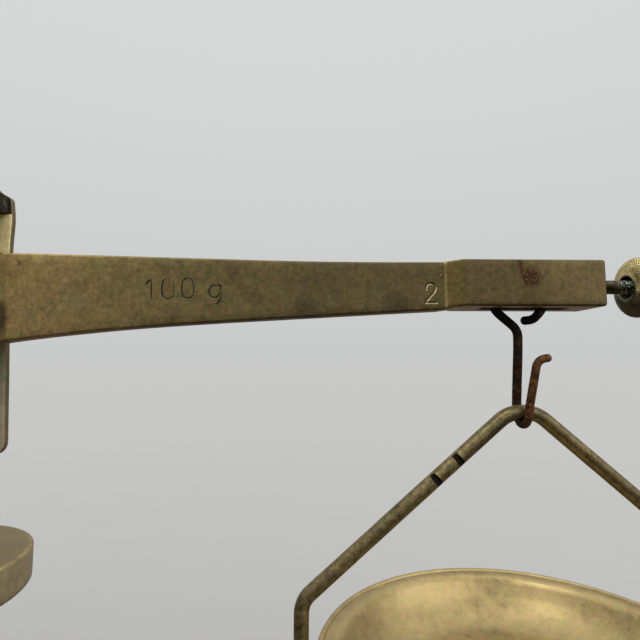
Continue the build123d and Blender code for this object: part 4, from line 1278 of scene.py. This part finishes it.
def studio_world():
    """Soft room light: bright ceiling, pale backdrop all round, dim below and where the person taking the view stands."""
    world = bpy.data.worlds.new("studio")
    bpy.context.scene.world = world
    world.use_nodes = True
    nt = world.node_tree
    nt.nodes.clear()
    out = nt.nodes.new("ShaderNodeOutputWorld")
    tc = nt.nodes.new("ShaderNodeTexCoord")
    sep = nt.nodes.new("ShaderNodeSeparateXYZ")
    nt.links.new(tc.outputs["Generated"], sep.inputs[0])

    def remap(sock, a, b, c, d, kind="SMOOTHSTEP"):
        n = nt.nodes.new("ShaderNodeMapRange")
        n.interpolation_type = kind
        for key, v in (("From Min", a), ("From Max", b), ("To Min", c), ("To Max", d)):
            n.inputs[key].default_value = v
        nt.links.new(sock, n.inputs["Value"])
        return n.outputs["Result"]

    def op(kind, a, b):
        n = nt.nodes.new("ShaderNodeMath")
        n.operation = kind
        for i, v in enumerate((a, b)):
            if isinstance(v, float):
                n.inputs[i].default_value = v
            else:
                nt.links.new(v, n.inputs[i])
        return n.outputs[0]

    def ramp(sock, *stops):
        n = nt.nodes.new("ShaderNodeValToRGB")
        while len(n.color_ramp.elements) > 1:
            n.color_ramp.elements.remove(n.color_ramp.elements[0])
        e = n.color_ramp.elements[0]
        for i, (p, c) in enumerate(stops):
            if i:
                e = n.color_ramp.elements.new(p)
            e.position = p
            e.color = (*c, 1)
        nt.links.new(sock, n.inputs[0])
        return n.outputs[0]

    z = op("MULTIPLY_ADD", sep.outputs[2], 0.5)
    z.node.inputs[2].default_value = 0.5
    # what the camera sees above the floor
    sky = ramp(z, (0.5, HORIZON), (0.62, tuple(c * 1.06 for c in HORIZON)), (0.76, tuple(c * 1.155 for c in HORIZON)), (1.0, (0.72, 0.72, 0.72)))
    # what lights the object
    lit = ramp(z, (0.0, (0.020, 0.017, 0.015)), (0.44, (0.030, 0.026, 0.023)), (0.492, (0.05, 0.045, 0.04)), (0.503, (0.50, 0.49, 0.46)), (0.60, (0.60, 0.59, 0.56)), (0.76, (0.90, 0.89, 0.86)), (1.0, (1.55, 1.53, 1.48)))
    az = op("ADD", op("MULTIPLY", sep.outputs[1], -0.73), op("MULTIPLY", sep.outputs[0], 0.68))
    window = remap(az, 0.55, 0.85, 1.0, 2.6)
    window = op("ADD", op("MULTIPLY", op("SUBTRACT", window, 1.0), remap(sep.outputs[2], -0.03, 0.02, 0.0, 1.0)), 1.0)
    back = remap(sep.outputs[1], -0.3, 0.7, 1.0, 0.8)
    # the pale paper carries on below eye level behind the object
    paper = op("MULTIPLY", remap(sep.outputs[1], 0.15, 0.75, 0.0, 1.0), remap(sep.outputs[2], -0.75, -0.1, 0.0, 1.0))
    paper = op("MULTIPLY", paper, remap(sep.outputs[2], 0.0, 0.02, 1.0, 0.0))
    lift = nt.nodes.new("ShaderNodeMix")
    lift.data_type = "RGBA"
    nt.links.new(paper, lift.inputs["Factor"])
    nt.links.new(lit, lift.inputs[6])
    lift.inputs[7].default_value = (0.52, 0.47, 0.45, 1)
    lit = lift.outputs[2]
    strength = op("MULTIPLY", window, back)
    b1 = nt.nodes.new("ShaderNodeBackground")
    nt.links.new(lit, b1.inputs[0])
    nt.links.new(strength, b1.inputs[1])
    b2 = nt.nodes.new("ShaderNodeBackground")
    nt.links.new(sky, b2.inputs[0])
    lp = nt.nodes.new("ShaderNodeLightPath")
    mx = nt.nodes.new("ShaderNodeMixShader")
    nt.links.new(lp.outputs["Is Camera Ray"], mx.inputs[0])
    nt.links.new(b1.outputs[0], mx.inputs[1])
    nt.links.new(b2.outputs[0], mx.inputs[2])
    nt.links.new(mx.outputs[0], out.inputs[0])


HORIZON = (0.585, 0.588, 0.590)
studio_world()


def sun(name, azimuth, elevation, angle, power, color=(1, 1, 1)):
    """Very soft lamp. Azimuth 0 is the front (-Y), growing towards +X."""
    l = bpy.data.lights.new(name, "SUN")
    l.angle = math.radians(angle)
    l.energy = power
    l.color = color
    ob = bpy.data.objects.new(name, l)
    bpy.context.scene.collection.objects.link(ob)
    a, e = math.radians(azimuth), math.radians(elevation)
    d = Vector((math.sin(a) * math.cos(e), -math.cos(a) * math.cos(e), math.sin(e)))
    ob.location = d * 2.0
    ob.rotation_euler = (-d).to_track_quat("-Z", "Y").to_euler()
    return ob


sun("ceiling_panel", -35, 62, 24, 0.9, (1.0, 0.985, 0.95))

cam = bpy.data.cameras.new("camera")
cam.sensor_width = 36.0
cam.lens = 27.0
cam.clip_start = 0.002
cam.clip_end = 50.0
cam_ob = bpy.data.objects.new("camera", cam)
bpy.context.scene.collection.objects.link(cam_ob)
cam_ob.location = V(75.924, -97.056, -15.684)
cam_ob.rotation_euler = (math.radians(90 + 5.1376), 0.0, math.radians(-1.6582))
bpy.context.scene.camera = cam_ob

sc = bpy.context.scene
sc.view_settings.view_transform = "Standard"
sc.view_settings.look = "None"
sc.view_settings.exposure = 0.0
sc.view_settings.gamma = 1.0
